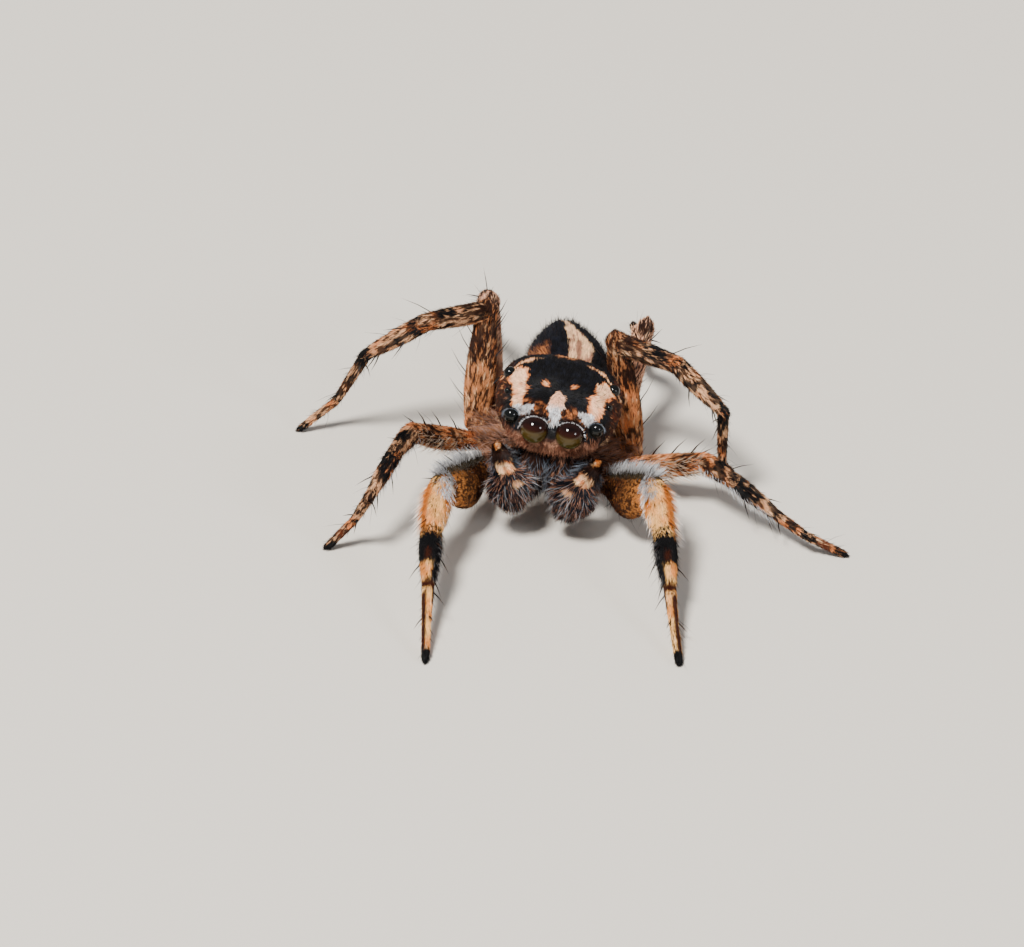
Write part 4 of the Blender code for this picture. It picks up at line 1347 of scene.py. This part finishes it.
# Standing hair: number, first and last share, middle and half of its arc, length, radius, lean,
# colours of root and tip, then where given how far it turns aside and the rule for where it grows
HEAD_HAIRS = (
    (2000, -0.12, 0.16, 180, 95, 0.085, 0.0042, 60, RED_BROWN * 0.9, PINK_TAN * 0.8),
    (500, -0.06, 0.22, 0, 70, 0.09, 0.0045, 46, DARK_BROWN, TAN),
    (9000, -0.06, 0.26, 0, 85, 0.070, 0.0042, 60, GREY, WHITE, 0.4, front_tufts),
    (1500, 0.25, 1.5, 130, 22, 0.11, 0.0045, 50, PINK_TAN * 0.7, CREAM),
    (1500, 0.25, 1.5, -130, 22, 0.11, 0.0045, 50, PINK_TAN * 0.7, CREAM),
    (420, 0.25, 1.9, 0, 80, 0.10, 0.0036, 30, BLACK, BLACK),
)
CHELICERA_HAIRS = (
    (200, 0.0, 0.5, 0, 90, 0.20, 0.004, 50, BLUE_BLACK, BLUE_GREY, 0.9),
    (300, 0.0, 0.6, 0, 90, 0.14, 0.005, 50, DARK_BROWN, BLACK, 0.6),
)
ABDOMEN_HAIRS = (
    (4200, 0.0, 1.9, 0, 110, 0.11, 0.0042, 34, BLACK, BLUE_BLACK, 0.6, off_stripe),
    (260, 0.0, 1.9, 0, 120, 0.20, 0.0036, 28, BLACK, DARK_BROWN, 0.6, off_stripe),
)
PALP_ROOT_HAIRS = (
    (240, 0.0, 0.9, 0, 120, 0.12, 0.0045, 50, BLUE_GREY, PALE_GREY),
    (240, 0.0, 0.9, 0, 180, 0.12, 0.0045, 50, DARK_BROWN, BLACK),
)
PALP_HAIRS = {
    "coxa": PALP_ROOT_HAIRS,
    "femur": PALP_ROOT_HAIRS,
    "tibia": (
        (420, 0.02, 0.30, 0, 60, 0.12, 0.006, 60, DARK_BROWN, BLACK),
        (260, 0.0, 1.0, 108, 34, 0.17, 0.0036, 40, BLUE_BLACK, BLUE_GREY),
        (300, 0.0, 1.1, 108, 34, 0.13, 0.005, 46, BLACK, BLUE_BLACK),
        (260, 0.0, 1.0, -108, 34, 0.17, 0.0036, 40, BLUE_BLACK, BLUE_GREY),
        (300, 0.0, 1.1, -108, 34, 0.13, 0.005, 46, BLACK, BLUE_BLACK),
    ),
    "tarsus": (
        (5200, -0.25, 1.25, 0, 180, 0.112, 0.0046, 40, BLACK, BLUE_BLACK, 0.5, off_spot),
        (1000, -0.25, 1.2, 0, 180, 0.112, 0.0046, 42, RED_BROWN, PINK_TAN, 0.5, off_spot),
        (170, -0.2, 1.1, 0, 120, 0.19, 0.0036, 44, BLUE_GREY, PALE_GREY, 0.8),
        (2600, -0.1, 0.3, 0, 180, 0.07, 0.005, 50, AMBER, CREAM, 0.5, club_spot),
    ),
}
FOOT_HAIRS = ((240, 0.7, 1.12, 180, 110, 0.06, 0.006, 56, BLACK, BLACK),)
COXA_HAIRS = (
    (420, 0.2, 1.0, 0, 120, 0.17, 0.0042, 36, GREY * 0.5, PINK_TAN, 0.8),
    (420, 0.2, 1.0, 0, 120, 0.14, 0.0046, 40, DARK_BROWN, TAN, 0.8),
)
# Dark hairs all over the legs: how many to a square millimetre, length, radius, lean
LEG_HAIRS = ((95, 0.10, 0.0038, 46), (9, 0.26, 0.0032, 40))
SECOND_LEG_HAIRS = ((260, 0.0, 1.0, 180, 70, 0.13, 0.004, 46, GREY, WHITE, 0.4),)
# The white crest and fringes of the front legs, and the pale hair under the second
FRINGES = {
    (1, "femur"): (
        (4600, 0.02, 1.02, 0, 20, 0.21, 0.0046, 28, PALE_GREY, WHITE),
        (1700, 0.05, 0.95, 20, 34, 0.13, 0.0046, 40, OLIVE, GREY, 0.4),
        (500, 0.86, 1.02, 40, 60, 0.15, 0.0046, 50, GREY, WHITE, 0.4),
    ),
    (1, "patella"): (
        (750, -0.1, 0.32, 64, 30, 0.15, 0.0044, 58, GREY, WHITE, 0.5),
        (560, 0.0, 1.0, -34, 24, 0.14, 0.005, 52, RUST, AMBER, 0.3),
        (900, 0.0, 1.0, -84, 36, 0.19, 0.0046, 42, CREAM, WHITE),
        (340, 0.0, 0.9, 118, 34, 0.11, 0.0046, 50, CREAM, WHITE, 0.4),
    ),
    (1, "tibia"): (
        (420, 0.0, 0.9, 130, 50, 0.13, 0.0046, 48, BLACK, GREY, 0.4),
        (300, 0.0, 0.9, -100, 50, 0.10, 0.0046, 48, BLACK, BLACK, 0.4),
    ),
    (2, "femur"): ((700, 0.2, 1.0, 120, 60, 0.17, 0.0046, 46, GREY, CREAM, 0.5),),
    (2, "patella"): SECOND_LEG_HAIRS,
    (2, "tibia"): SECOND_LEG_HAIRS,
}

# Flat hair: how many to a square millimetre, length, width, lean, first and last share
FLAT_HEAD = (4700, 0.061, 0.0148, 70, CARAPACE[0][0], 2.06)
FLAT_STERNUM = (500, 0.10, 0.022, 66)
FLAT_CHELICERA = (1600, 0.09, 0.016, 62, 0.0, 0.76)
FLAT_ABDOMEN = (4800, 0.082, 0.0135, 68, ABDOMEN[0][0], 2.0)
FLAT_PALP = (3800, 0.070, 0.0135, 60, -0.05, 1.2)
FLAT_COXA = (1700, 0.09, 0.015, 60, 0.0, 1.05)
# On the legs the length goes by segment, so that this row has only width, lean and shares
FLAT_LEG = (0.0128, 71, -0.05, 1.2)
LEG_DENSITY = 4500
LEG_HAIR_LENGTH = 0.076
FRONT_FEMUR_HAIR_LENGTH = 0.054
FOOT_HAIR_LENGTH = 0.062


def pick(forms, kind, pair=None, segment=None, side=None):
    return [
        form for form in forms
        if form.kind == kind and pair in (None, form.pair)
        and segment in (None, form.segment) and side in (None, form.side)
    ]


def head_coats(forms, kit):
    carapace = pick(forms, "carapace")[0]
    for side in SIDE_SIGN:
        head = Coat(f"coat_head_{side}", "head_coat", *kit)
        lay_coat(head, carapace, *FLAT_HEAD, leafy=True, half=side)
        for form in pick(forms, "sternum"):
            lay_coat(head, form, *FLAT_STERNUM, form.shares[0], form.shares[-1], half=side)
        head.build()

    face = Coat("coat_face", "face_coat", *kit)
    eye_rims(face, carapace)
    stand_rows(face, carapace, HEAD_HAIRS)
    for form in pick(forms, "chelicera"):
        lay_coat(face, form, *FLAT_CHELICERA)
        stand_rows(face, form, CHELICERA_HAIRS)
    face.build()


def abdomen_coat(forms, kit):
    rear = Coat("coat_abdomen", "black_coat", *kit)
    for form in pick(forms, "abdomen"):
        lay_coat(rear, form, *FLAT_ABDOMEN)
        stand_rows(rear, form, ABDOMEN_HAIRS)
    rear.build()


def palp_coat(forms, side, kit):
    palp = Coat(f"coat_palp_{side}", "black_coat", *kit)
    for form in pick(forms, "palp", side=side):
        lay_coat(palp, form, *FLAT_PALP)
        stand_rows(palp, form, PALP_HAIRS[form.segment])
    palp.build()


def leg_coat(forms, side, pair, kit):
    leg = Coat(f"coat_leg_{side}{pair}", "leg_coat", *kit)
    for form in pick(forms, "leg", pair, side=side):
        length = LEG_HAIR_LENGTH
        if form.segment in ("metatarsus", "tarsus"):
            length = FOOT_HAIR_LENGTH
        elif pair == 1 and form.segment == "femur":
            length = FRONT_FEMUR_HAIR_LENGTH
        lay_coat(leg, form, LEG_DENSITY, length, *FLAT_LEG)
        for density, length, radius, lean in LEG_HAIRS:
            number = int(form.area(0, 1) * density)
            stand_hairs(leg, form, number, 0.0, 1.0, 0, 180, length, radius, lean, BLACK, BLACK)
        if form.segment == "tarsus":
            stand_rows(leg, form, FOOT_HAIRS)
    for form in pick(forms, "coxa", pair, side=side):
        lay_coat(leg, form, *FLAT_COXA)
        stand_rows(leg, form, COXA_HAIRS)
    leg.build()


def fringe_coat(forms, kit):
    fringe = Coat("coat_fringe", "leg_coat", *kit)
    for (pair, segment), rows in FRINGES.items():
        for form in pick(forms, "leg", pair, segment):
            stand_rows(fringe, form, rows)
    fringe.build()


def build_coats(forms, tree):
    """All the hair. Returns the painted places, which also colour the skin."""
    # What a coat is made with: the skin's search tree, the finish, and the places and colours so far
    samples = ([], [])
    kit = (tree, painted_finish("coat_finish"), samples)
    head_coats(forms, kit)
    abdomen_coat(forms, kit)
    for side in SIDE_SIGN:
        palp_coat(forms, side, kit)
    for side, pair in STANCE:
        leg_coat(forms, side, pair, kit)
    fringe_coat(forms, kit)
    spines = Coat("leg_spines", "leg_coat", tree, painted_finish("spine_finish"))
    for form in pick(forms, "leg"):
        add_spines(spines, form)
    spines.build()
    return np.concatenate(samples[0]), np.concatenate(samples[1])


# The stage, in metres. Lights: name, place, size, power and colour
FLOOR_REACH = 0.6
FLOOR_COLOUR = (0.62, 0.58, 0.52, 1)
FLOOR_ROUGHNESS = 0.9
SKY_COLOUR = (0.93, 0.95, 1.0, 1)
SKY_STRENGTH = 0.32
LIGHT_TARGET = (0.0, 0.0, 0.001)
LIGHTS = (
    ("key", (-0.05, -0.06, 0.16), 0.045, 0.75, (1.0, 0.97, 0.92)),
    ("fill", (0.16, -0.12, 0.10), 0.05, 0.16, (0.95, 0.97, 1.0)),
)
CLIP_START = 0.01
CLIP_END = 5.0


def build_stage():
    """A plain pale floor, soft lights, and the camera at the photo's angle."""
    floor_mesh = bpy.data.meshes.new("floor")
    corners = [(x * FLOOR_REACH, y * FLOOR_REACH, 0) for x, y in ((-1, -1), (1, -1), (1, 1), (-1, 1))]
    floor_mesh.from_pydata(corners, [], [(0, 1, 2, 3)])
    floor = show("floor", floor_mesh)
    material = bpy.data.materials.new("floor_finish")
    material.use_nodes = True
    shader = material.node_tree.nodes["Principled BSDF"]
    set_inputs(shader, {"Base Color": FLOOR_COLOUR, "Roughness": FLOOR_ROUGHNESS})
    floor_mesh.materials.append(material)
    world = bpy.data.worlds.new("soft_room")
    world.use_nodes = True
    background = world.node_tree.nodes["Background"]
    set_inputs(background, {"Color": SKY_COLOUR, "Strength": SKY_STRENGTH})
    bpy.context.scene.world = world
    for name, place, size, power, colour in LIGHTS:
        light = bpy.data.lights.new(name, "AREA")
        light.shape = "DISK"
        light.size = size
        light.energy = power
        light.color = colour
        show(name, light, place, Vector(LIGHT_TARGET) - Vector(place))
    lens = bpy.data.cameras.new("camera")
    lens.sensor_width = SENSOR_WIDTH
    lens.lens = SENSOR_WIDTH * CAMERA_DISTANCE / FRAME_WIDTH
    lens.clip_start = CLIP_START
    lens.clip_end = CLIP_END
    back = Vector((0, -math.cos(CAMERA_ELEVATION), math.sin(CAMERA_ELEVATION)))
    place = (CAMERA_TARGET + back * CAMERA_DISTANCE) * TO_METRES
    bpy.context.scene.camera = show("camera", lens, place, -back)


def main():
    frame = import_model()
    build_stage()
    forms = all_forms()
    skin_points, skin_faces, tree = build_skin(forms)
    painted_points, painted_colours = build_coats(forms, tree)
    # The skin is darker than the coat over it: its dark cuticle, and painted shade under the hair
    colours = nearest_colours(painted_points, painted_colours, skin_points) * SKIN_CUTICLE_AND_SHADE
    skin = new_object("skin", skin_points, skin_faces, colours)
    skin.data.materials.append(painted_finish("skin_finish"))
    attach(skin, "root")
    flesh = [name for name in frame["nodes"] if not name.startswith("eye_")]
    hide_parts(*flesh)
    build_eyes(painted_finish("eye_finish"))


main()
